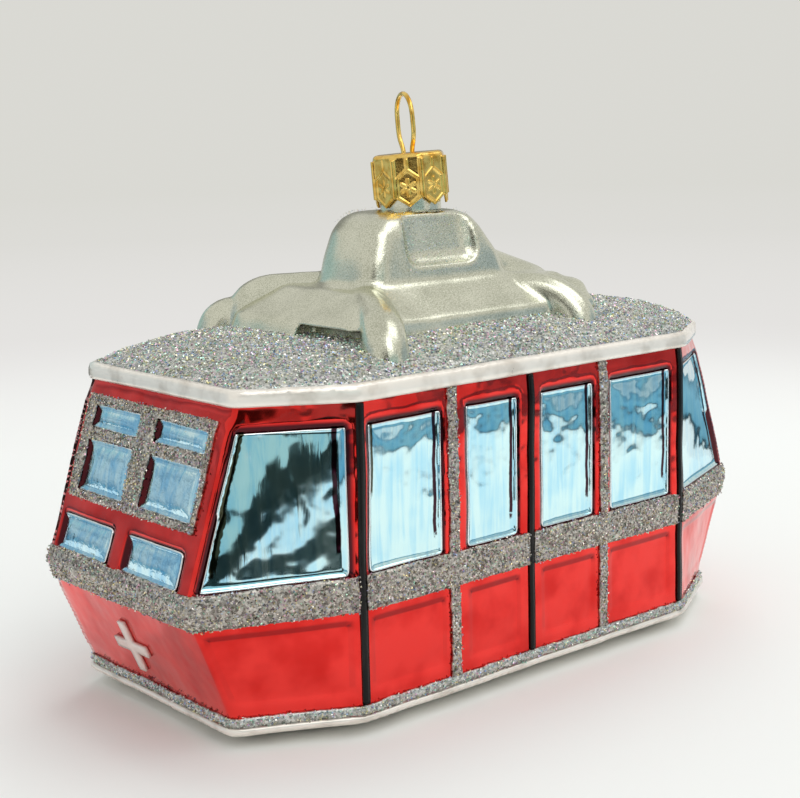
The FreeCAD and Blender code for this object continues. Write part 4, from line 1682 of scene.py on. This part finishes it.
@dataclass
class CrownCap:
    """Stamped metal cap with eight panels, and its wire loop."""

    panels: int = 8
    half: float = 0.00495
    sheet: float = 0.00035
    height: float = 0.0074
    notch: float = 0.0014
    shoulder: float = 0.0008
    lid: float = 0.0014
    top_z: float = 0.0708
    lean: float = 4.0
    lean_towards: float = -41.0
    bead: float = 0.00036
    line: float = 0.00016
    hexagon_half: float = 0.00150
    hexagon_low: float = 0.00035
    hexagon_high: float = 0.0052
    hexagon_rise: float = 0.00115
    ray: float = 0.00115
    voxel: float = 0.00009
    wire: float = 0.00034
    loop_angle: float = 69.0
    loop_foot: float = 0.00175
    loop_half: float = 0.0031
    loop_height: float = 0.0085
    spring_spread: float = 0.00285
    spring_length: float = 0.0085
    spring_start: float = 0.0030
    plumb_low: float = 0.0008
    plumb_high: float = 0.0005
    knee: float = 0.0022

    @property
    def foot_z(self) -> float:
        """Height of the points of the skirt."""
        return self.top_z - self.height

    def leaning(self, piece: bpy.types.Object) -> bpy.types.Object:
        """Leans a piece as the cap does."""
        angle = math.radians(self.lean_towards)
        axis = Vector((-math.sin(angle), math.cos(angle), 0.0))
        return turned(piece, (0.0, 0.0, self.top_z - self.height / 2), self.lean, axis)

    def panel(self) -> bpy.types.Object:
        """Panel that faces +x, with its embossing and the bead beside it."""
        reach = self.half * math.tan(math.pi / self.panels)
        plate = block((self.half - self.sheet, -reach, self.foot_z),
                      (self.half, reach, self.top_z - self.shoulder))
        with editing(plate):
            for way in (1.0, -1.0):
                bpy.ops.mesh.select_all(action="SELECT")
                bisect((0.0, 0.0, self.foot_z), (0.0, way * self.notch, -reach),
                       clear_outer=True, use_fill=True)
        corner = math.pi / self.panels
        out = (self.half - self.bead * 0.2) / math.cos(corner)
        side = (out * math.cos(corner), out * math.sin(corner))
        pieces = [plate, bar((*side, self.foot_z + self.notch * 0.9),
                             (*side, self.top_z - self.shoulder), self.bead)]
        pieces += [self.relief(a, b) for a, b in self.lines()]
        return joined(pieces, "cap_panel")

    def relief(self, start: tuple, end: tuple) -> bpy.types.Object:
        """Embossed line between two (y, z) places."""
        return bar((self.half, *start), (self.half, *end), self.line)

    def lines(self) -> list[tuple[tuple, tuple]]:
        """Hexagon, six rays and the flute over them, as (y, z) places."""
        low, high = self.foot_z + self.hexagon_low, self.foot_z + self.hexagon_high
        wide, rise = self.hexagon_half, self.hexagon_rise
        corners = [(0.0, low), (wide, low + rise), (wide, high - rise),
                   (0.0, high), (-wide, high - rise), (-wide, low + rise)]
        found = list(zip(corners, corners[1:] + corners[:1]))
        middle = (low + high) / 2
        for number in range(6):
            angle = math.radians(30 + 60 * number)
            across, up = math.cos(angle), math.sin(angle)
            found.append(((across * self.ray * 0.3, middle + up * self.ray * 0.3),
                          (across * self.ray, middle + up * self.ray)))
        found.append(((0.0, high), (0.0, self.top_z - self.shoulder)))
        return found

    def cap(self, gold: bpy.types.Material) -> None:
        """Builds the cap."""
        panel = self.panel()
        turns = [360.0 / self.panels * number for number in range(1, self.panels)]
        others = copies(panel, [around(turn) for turn in turns])
        deselect_all()
        bpy.ops.mesh.primitive_cylinder_add(
            vertices=self.panels, radius=self.half / math.cos(math.pi / self.panels),
            depth=self.lid, location=(0.0, 0.0, self.top_z - self.lid / 2),
            rotation=(0.0, 0.0, math.pi / self.panels),
        )
        lid = bpy.context.object
        bpy.ops.object.transform_apply(location=True, rotation=True, scale=True)
        modify(lid, "BEVEL", width=self.lid * 0.55, segments=5)
        piece = joined([panel, *others, lid], "crown_cap")
        remesh(piece, self.voxel, 2)
        smooth_shade(piece)
        self.leaning(piece)
        dress(piece, gold)
        settle(piece, "cap", "gold_cap", "cap")

    def loop(self, gold: bpy.types.Material) -> None:
        """Builds the wire: loop over the cap, two spring legs under it."""
        top = self.top_z + self.loop_height - self.wire
        side = [
            (self.spring_spread, self.top_z - self.spring_length),
            (self.spring_spread, self.top_z - self.spring_start),
            (self.loop_foot, self.top_z - self.plumb_low),
            (self.loop_foot, self.top_z + self.plumb_high),
            (self.loop_half, self.top_z + self.knee), (self.loop_half, top - self.loop_half),
        ]
        arc = [(self.loop_half * math.cos(math.radians(turn)),
                top - self.loop_half + self.loop_half * math.sin(math.radians(turn)))
               for turn in range(15, 180, 15)]
        route = side + arc + [(-across, z) for across, z in reversed(side)]
        angle = math.radians(self.loop_angle)
        places = [(across * math.cos(angle), across * math.sin(angle), z)
                  for across, z in route]
        piece = tube("wire_loop", places, self.wire, [1.0] * len(places))
        smooth_shade(piece)
        self.leaning(piece)
        dress(piece, gold)
        settle(piece, "cap", "gold_wire", "hanger")


@dataclass(frozen=True)
class CameraStand:
    """Where the camera stands and how it looks."""

    place: tuple = (0.144296, 0.165345, 0.074718)
    yaw: float = -130.557
    pitch: float = -10.096
    roll: float = -1.2535
    lens: float = 69.41

    def build(self) -> None:
        """Makes the camera and gives it to the scene."""
        yaw, pitch, roll = map(math.radians, (self.yaw, self.pitch, self.roll))
        ahead = Vector((
            math.cos(pitch) * math.cos(yaw), math.cos(pitch) * math.sin(yaw), math.sin(pitch)
        ))
        right = ahead.cross(Vector((0.0, 0.0, 1.0))).normalized()
        up = right.cross(ahead)
        turned_right = right * math.cos(roll) + up * math.sin(roll)
        turned_up = up * math.cos(roll) - right * math.sin(roll)
        matrix = Matrix((turned_right, turned_up, -ahead)).transposed().to_4x4()
        matrix.translation = Vector(self.place)
        data = bpy.data.cameras.new("camera")
        data.lens = self.lens
        data.clip_start = 0.01
        camera = bpy.data.objects.new("camera", data)
        camera.matrix_world = matrix
        bpy.context.scene.collection.objects.link(camera)
        bpy.context.scene.camera = camera


@dataclass(frozen=True)
class Lamp:
    """Square soft lamp that faces the ornament."""

    name: str
    place: tuple
    size: float
    power: float
    mirrored: bool = True

    def build(self) -> None:
        """Hangs the lamp."""
        data = bpy.data.lights.new(self.name, "AREA")
        data.size, data.energy = self.size, self.power
        lamp = bpy.data.objects.new(self.name, data)
        lamp.location = self.place
        lamp.visible_glossy = self.mirrored
        way = Vector((0.0, 0.0, 0.035)) - Vector(self.place)
        lamp.rotation_euler = way.to_track_quat("-Z", "Y").to_euler()
        bpy.context.scene.collection.objects.link(lamp)


def mirrors_only(piece: bpy.types.Object, material: bpy.types.Material) -> None:
    """Dresses a piece of the studio and lets nothing but mirrors show it."""
    dress(piece, material)
    piece.visible_camera = piece.visible_diffuse = piece.visible_shadow = False


@dataclass(frozen=True)
class Screen(Finish):
    """Curved card that only mirrors show, coloured from its foot to its top: its glow is a painted
    reflection.

    The edges of its bands are ragged, as a room is in hand-blown glass.
    """

    name: str
    middle: float
    half: float
    radius: float
    height: float
    stops: tuple
    ragged: float
    grain: float
    foot: float = 0.0

    def build(self) -> None:
        """Sets up the card."""
        deselect_all()
        bpy.ops.mesh.primitive_cylinder_add(
            vertices=180, radius=self.radius, depth=self.height, end_fill_type="NOTHING",
            location=(0.0, 0.0, self.foot + self.height / 2),
        )
        piece = bpy.context.object
        piece.name = self.name
        bpy.ops.object.transform_apply(location=True, rotation=False, scale=True)
        way = Vector((math.cos(math.radians(self.middle)), math.sin(math.radians(self.middle))))
        reach = math.cos(math.radians(min(self.half, 180.0)))
        with editing(piece):
            if self.half < 180.0 and choose(
                piece, lambda face: face.calc_center_median().xy.normalized().dot(way) < reach
            ):
                bpy.ops.mesh.delete(type="FACE")
        mirrors_only(piece, self.material(self.name))

    def paint(self, graph: Graph) -> None:
        """Paints ragged bands of glow."""
        here = graph.place()
        height = graph.node("ShaderNodeSeparateXYZ", None, {0: here}, "Z") - self.foot
        stray = graph.noise(here, self.grain, 4.0, 0.4) - 0.5
        share = (height + stray * (2.0 * self.ragged)) / self.height
        graph.glow(graph.node("ShaderNodeValToRGB", {"stops": list(self.stops)}, {0: share}))


@dataclass(frozen=True)
class CornerScreen(Screen):
    """Card for a corner window, as painted reflection: a dark band under a pale part, and a pale
    patch.
    """

    way: float = 1.0
    pale_reflection: Colour = (0.40, 0.55, 0.56)
    patch_reflection: Colour = (0.84, 0.88, 0.89)
    edge: float = 0.021
    dark_band_rise: tuple = (0.021, -0.0480, -0.0445)
    pale_patch: Span = (-0.0020, 0.0122)
    pale_patch_side: Span = (-0.0364, -0.0331)
    soft: float = 0.0008
    streaks: Colour = (160.0, 160.0, 620.0)

    def paint(self, graph: Graph) -> None:
        """Paints the dark band, the pale part over it and the pale patch."""
        here = graph.place()
        height = graph.node("ShaderNodeSeparateXYZ", None, {0: here}, "Z")
        side = math.radians(self.middle + 90.0)
        tangent = (self.way * math.cos(side), self.way * math.sin(side), 0.0)
        along = graph.vector("DOT_PRODUCT", {0: here, 1: tangent}, "Value")
        stray = (graph.noise(here, self.grain, 4.0, 0.4) - 0.5) * (2.0 * self.ragged)
        height, along = height + stray, along + stray
        top = along.step(*self.dark_band_rise[1:]) * self.dark_band_rise[0] + self.edge
        over = (height - top).step(-self.soft / 2, self.soft / 2)
        low, high = self.pale_patch
        pale_patch = along.step(*self.pale_patch_side) * height.step(low, low + self.soft)
        pale_patch = pale_patch * (1.0 - height.step(high, high + self.soft))
        streaks = graph.noise(graph.place(self.streaks), 1.0, 4.0, 1.0)
        dark = graph.node("ShaderNodeValToRGB", {"stops": list(self.stops)}, {0: streaks})
        graph.glow(graph.blend(graph.blend(dark, self.pale_reflection, over), self.patch_reflection, pale_patch))


@dataclass(frozen=True)
class Shade(Finish):
    """Dark patch of floor that only mirrors show, below the corner windows."""

    name: str
    middle: float
    near: float = 0.114
    far: float = 0.168
    half: float = 0.026
    height: float = 0.0003
    dark: Colour = (0.020, 0.028, 0.026)
    light: Colour = (0.09, 0.11, 0.10)

    def build(self) -> None:
        """Lays the patch."""
        piece = plane((0.0, 0.0, 0.0), (self.far - self.near) / 2, self.half)
        piece.name = self.name
        middle = Matrix.Translation(((self.near + self.far) / 2, 0.0, self.height))
        placed(piece, around(self.middle) @ middle)
        mirrors_only(piece, self.material(self.name))

    def paint(self, graph: Graph) -> None:
        """Paints a cloudy dark glow."""
        cloudy = graph.noise(graph.place(), 240.0, 3.0)
        graph.glow(graph.blend(self.dark, self.light, cloudy.step(0.5, 0.7)))


@dataclass(frozen=True)
class Studio:
    """Pale floor and room, soft lamps, and the cards that the mirrors show."""

    floor: Colour = (0.845, 0.86, 0.835)
    room: Colour = (0.70, 0.695, 0.655)
    light: Colour = (0.68, 0.68, 0.68)
    near: float = 0.13
    far: float = 1.6
    screens: tuple[Screen, ...] = (
        Screen("screen_ring", 0.0, 181.0, 0.170, 0.020, (
            (0.0, (0.88, 0.88, 0.865)), (0.20, (0.88, 0.88, 0.865)), (0.23, (0.015, 0.04, 0.05)),
            (0.30, (0.02, 0.05, 0.065)), (0.36, (0.17, 0.36, 0.46)), (0.70, (0.24, 0.44, 0.54)),
            (1.0, (0.10, 0.20, 0.26)),
        ), 0.0030, 75.0),
        *(CornerScreen(f"screen_corner_{number}", middle, 23.0, 0.168, 0.105, (
            (0.30, (0.006, 0.010, 0.010)), (0.46, (0.022, 0.032, 0.029)),
            (0.56, (0.010, 0.016, 0.016)), (0.70, (0.060, 0.080, 0.070)),
        ), 0.0012, 420.0, way=way) for number, middle, way in ((0, 76.0, 1.0), (1, -76.0, -1.0))),
        *(Screen(f"screen_nose_{number}", middle, 24.0, 0.200, 0.115, (
            (0.0, (0.80, 0.84, 0.86)), (0.20, (0.34, 0.40, 0.44)), (0.5, (0.52, 0.60, 0.64)),
            (0.62, (0.26, 0.33, 0.38)), (0.8, (0.50, 0.58, 0.62)), (1.0, (0.34, 0.40, 0.43)),
        ), 0.0120, 70.0) for number, middle in enumerate((-42.0, 148.0))),
        Screen("screen_front", 45.0, 9.0, 0.176, 0.085, (
            (0.0, (0.30, 0.30, 0.27)), (0.2, (0.035, 0.032, 0.026)), (0.6, (0.05, 0.045, 0.036)),
            (1.0, (0.11, 0.10, 0.085)),
        ), 0.0060, 60.0, 0.048),
        Screen("screen_back", -115.0, 24.0, 0.176, 0.100, (
            (0.0, (0.50, 0.50, 0.46)), (0.4, (0.26, 0.26, 0.235)), (1.0, (0.42, 0.42, 0.385)),
        ), 0.0060, 60.0, 0.048),
    )
    floor_stops: tuple = (
        (0.0, (0.90, 0.90, 0.885)), (0.16, (0.78, 0.768, 0.75)), (0.5, (0.72, 0.712, 0.68)),
        (1.0, (0.70, 0.695, 0.655)),
    )
    shades: Span = (71.0, -71.0)
    lamps: tuple[Lamp, ...] = (
        Lamp("key", (-0.42, -0.20, 0.85), 0.70, 3.0, False),
        Lamp("gloss", (-0.38, 0.33, 0.85), 0.50, 1.0), Lamp("fill", (0.15, 0.62, 0.75), 0.60, 1.7),
    )

    def build(self) -> None:
        """Builds floor, lamps, world and cards."""
        self.ground()
        for number, middle in enumerate(self.shades):
            Shade(f"shade_{number}", middle).build()
        for lamp in self.lamps:
            lamp.build()
        self.world()
        for screen in self.screens:
            screen.build()

    @staticmethod
    def seen(graph: Graph) -> Wire:
        """1 for what the camera, a mirror or clear glass shows."""
        kinds = [graph.node("ShaderNodeLightPath", output=f"Is {kind} Ray")
                 for kind in ("Camera", "Glossy", "Transmission")]
        total = kinds[0] + kinds[1] + kinds[2]
        return total.maths("MINIMUM", total, 1.0)

    def ground(self) -> None:
        """Pale floor that fades into the room."""
        deselect_all()
        bpy.ops.mesh.primitive_plane_add(size=60.0, location=(0.0, 0.0, 0.0))
        ground = bpy.context.object
        ground.name = "floor"
        made, graph = new_material("floor")
        here = graph.node("ShaderNodeTexCoord", output="Object")
        away = graph.vector("LENGTH", {0: here}, "Value")
        # painted falloff of light: seen by camera and mirrors, the far floor glows darker with
        # distance instead of taking lamp light
        span_share = (away - self.near) / (self.far - self.near)
        paper = graph.node("ShaderNodeEmission", None, {
            "Color": graph.node("ShaderNodeValToRGB", {"stops": self.floor_stops},
                                {0: span_share}),
        })
        matt = graph.node("ShaderNodeBsdfPrincipled", None,
                          {"Base Color": self.floor, "Roughness": 0.9})
        share = self.seen(graph) * away.step(self.near, self.near * 2.6)
        mixed = graph.node("ShaderNodeMixShader", None, {0: share, 1: matt, 2: paper})
        graph.node("ShaderNodeOutputMaterial", None, {"Surface": mixed})
        dress(ground, made)

    def world(self) -> None:
        """Pale room all round."""
        world = bpy.data.worlds.new("room")
        bpy.context.scene.world = world
        world.use_nodes = True
        graph = Graph(world.node_tree)
        colour = graph.blend(self.light, self.room, self.seen(graph))
        light = graph.node("ShaderNodeBackground", None, {"Color": colour, "Strength": 1.0})
        graph.node("ShaderNodeOutputWorld", None, {"Surface": light})
        bpy.context.scene.view_settings.view_transform = "Standard"


@dataclass
class Coats:
    """The panes, black lines, enamel and cross laid on the cabin's glass."""

    mould: CabinMould
    pane: float = 0.00025
    pane_rim: float = 0.00030
    shaded: tuple = ("window_1", "front_left_window", "front_right_window")
    side_pillow: tuple = (0.00022, 0.0048)
    nose_pillow: tuple = (0.00095, 0.0026)
    line: float = 0.00028
    enamel: float = 0.0008
    rim: float = 0.0007
    cross: float = 0.0005
    off_glass: float = 0.00003
    pillow_rounds: int = 6

    def build(self) -> None:
        """Lays the panes, the black lines, the enamel, the rim bead and the cross."""
        black = BlackLine().material("black_lacquer")
        white = Enamel().material("pearl_enamel")
        rose = Enamel((0.86, 0.73, 0.67), (0.66, 0.50, 0.45), 0.1).material("rose_enamel")
        side_blue = BlueLacquer().material("blue_lacquer")
        corner_blue = BlueLacquer(shade=(0.45, 1.30), shade_foot=0.07, wave=0.17)
        corner_blue = corner_blue.material("corner_blue_lacquer")
        nose_blue = BlueLacquer(
            pale=(0.68, 0.93, 1.0), blue=(0.34, 0.68, 0.92), mottle=0.22, wave=0.5
        )
        nose_blue = nose_blue.material("nose_blue_lacquer")
        for node in BLUE_PANES:
            if "panes" in node:
                self.lay_pane(node, nose_blue, self.nose_pillow, 1)
            else:
                blue = side_blue if node[-1].isdigit() else corner_blue
                self.lay_pane(node, blue, self.side_pillow, 4)
        for side in ("left", "right"):
            for number in (1, 2, 3):
                node = f"{side}_black_post_{number}"
                self.coat(node, node, self.line, 2, black, "black_lacquer", node)
        self.coat("base_enamel", "foot_enamel", self.enamel, 2, white, "pearl_enamel",
                  "base_enamel")
        self.coat("roof_rim", "rim_bead", self.rim, 3, white, "pearl_enamel", "roof_rim")
        self.coat("front_cross", "cross", self.cross, 1, rose, "silver_glitter", "front_cross")

    def coat(self, coat: str, name: str, thickness: float, rounds: int,
             material: bpy.types.Material, slot: str, *nodes: str) -> None:
        """Lays one plain coat.

        Args:
            coat: the mould's name of its faces.
            name: what its name starts with.
            thickness: its thickness.
            rounds: how often it is softened.
            material: its finish.
            slot: the record's material slot.
            nodes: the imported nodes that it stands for.
        """
        sheet = self.mould.sheet(coat)
        sheet.name = sheet.data.name = f"{name}_coat"
        modify(sheet, "SOLIDIFY", thickness=thickness, offset=1.0)
        soften(sheet, rounds)
        smooth_shade(sheet)
        dress(sheet, material)
        settle(sheet, "ornament", slot, *nodes)

    def lay_pane(self, node: str, material: bpy.types.Material, pillow: tuple[float, float],
                 rounds: int) -> None:
        """Lays one blue pane, rounded at its corners and blown out like a pillow.

        Args:
            node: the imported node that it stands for.
            material: its finish.
            pillow: height of the pillow, and how far it slopes in from the edge.
            rounds: how often its outline is softened.
        """
        sheet = self.mould.sheet(node)
        sheet.name = sheet.data.name = f"{node}_pane"
        height, reach = pillow
        soften(sheet, rounds)
        modify(sheet, "SHRINKWRAP", target=self.mould.glass, offset=self.off_glass)
        modify(sheet, "SUBSURF", levels=1, render_levels=1)
        store_edges(sheet, self.pane_rim, reach)
        if "window" in node:
            store_sides(sheet, node.endswith(self.shaded))
        modify(sheet, "DISPLACE", strength=height, mid_level=0.0, vertex_group="pillow")
        soften(sheet, self.pillow_rounds, vertex_group="pillow")
        modify(sheet, "SOLIDIFY", thickness=self.pane, offset=1.0)
        smooth_shade(sheet)
        dress(sheet, material)
        settle(sheet, "ornament", "blue_lacquer", node)


def store_edges(piece: bpy.types.Object, rim: float, pillow: float) -> None:
    """Stores how near its edge each point of a sheet lies.

    Args:
        piece: the sheet.
        rim: reach of the attribute "rim", 1 at the edge and 0 from there on.
        pillow: reach of the vertex group "pillow", 0 at the edge and rounded up to 1.
    """
    mesh = bmesh.new()
    mesh.from_mesh(piece.data)
    edge = [vert for vert in mesh.verts if vert.is_boundary]
    tree = KDTree(len(edge))
    for number, vert in enumerate(edge):
        tree.insert(vert.co, number)
    tree.balance()
    away = [tree.find(vert.co)[2] for vert in mesh.verts]
    mesh.free()
    attribute = piece.data.attributes.new("rim", "FLOAT", "POINT")
    attribute.data.foreach_set("value", [max(0.0, 1.0 - gap / rim) for gap in away])
    group = piece.vertex_groups.new(name="pillow")
    for number, gap in enumerate(away):
        group.add([number], 1.0 - max(0.0, 1.0 - gap / pillow) ** 2, "REPLACE")


def store_sides(piece: bpy.types.Object, shaded: bool, row: float = 0.0005) -> None:
    """Stores the attribute "edges": distances from the upright edges, and the height.

    Args:
        piece: the sheet of a window.
        shaded: whether the distance from the front edge counts.
        row: height of the rows in which the edges are looked for.
    """
    places = [vert.co.copy() for vert in piece.data.vertices]
    low, high = min(place.z for place in places), max(place.z for place in places)
    rows: dict[int, list[float]] = {}
    for place in places:
        rows.setdefault(round(place.z / row), []).append(place.x)
    values = []
    for place in places:
        line = rows[round(place.z / row)]
        front = (max(line) - place.x) * 1000.0 if shaded else 9.0
        values += [(place.x - min(line)) * 1000.0, front, (place.z - low) / (high - low)]
    attribute = piece.data.attributes.new("edges", "FLOAT_VECTOR", "POINT")
    attribute.data.foreach_set("vector", values)


def main() -> None:
    """Builds the ornament piece by piece."""
    CameraStand().build()
    Studio().build()
    mould = CabinMould()
    log.info("mould: %d faces, coats %s", len(mould.glass.data.polygons), mould.coats)
    glitter = Glitter("taupe", (0.92, 0.85, 0.78), (0.26, 0.22, 0.19))
    silver = Glitter("silver", (1.0, 1.0, 0.97), (0.50, 0.53, 0.49))
    Coats(mould).build()
    belts = [f"belt_glitter_{number}" for number in range(1, 7)]
    glitter.lay(mould.sheet("belt_glitter"), "belt", 11, belts)
    silver.lay(mould.sheet("sill_glitter"), "sill", 12, ["sill_glitter"])
    silver.lay(mould.sheet("roof_glitter"), "roof", 13, ["roof_glitter"], 11.5e6, 1.15)
    for number, end in enumerate(("front", "rear")):
        node = f"{end}_glitter_frame"
        glitter.lay(mould.sheet(node), node, 14 + number, [node])
    for seed, side in ((20, "left"), (30, "right")):
        for number in (1, 2):
            node = f"{side}_glitter_post_{number}"
            glitter.lay(mould.sheet(node), node, seed + number, [node])
    champagne = Champagne().material("champagne_lacquer")
    carriage = Carriage()
    for seed, way, name in ((41, 1.0, "left_spray"), (42, -1.0, "right_spray")):
        spray = carriage.flank(way)
        silver.sow(spray, seed, 0.0001, 7.0e6, 0.45)
        spray.name = spray.data.name = name
        dress(spray, silver.silver)
        settle(spray, "ornament", "silver_glitter")
    dress(carriage.glass, champagne)
    settle(carriage.glass, "ornament", "champagne_lacquer", "carriage_glass")
    dress(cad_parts["neck_glass"], champagne)
    crown = CrownCap()
    crown.cap(Gold().material("gold_cap"))
    crown.loop(Gold().material("gold_wire"))
    for kind in (glitter, silver):
        bpy.data.objects.remove(kind.flake)
    dress(mould.glass, RedLacquer().material("red_lacquer"))
    settle(mould.glass, "ornament", "red_lacquer", "cabin_glass")


if __name__ == "__main__":
    logging.basicConfig(level=logging.INFO)
    main()
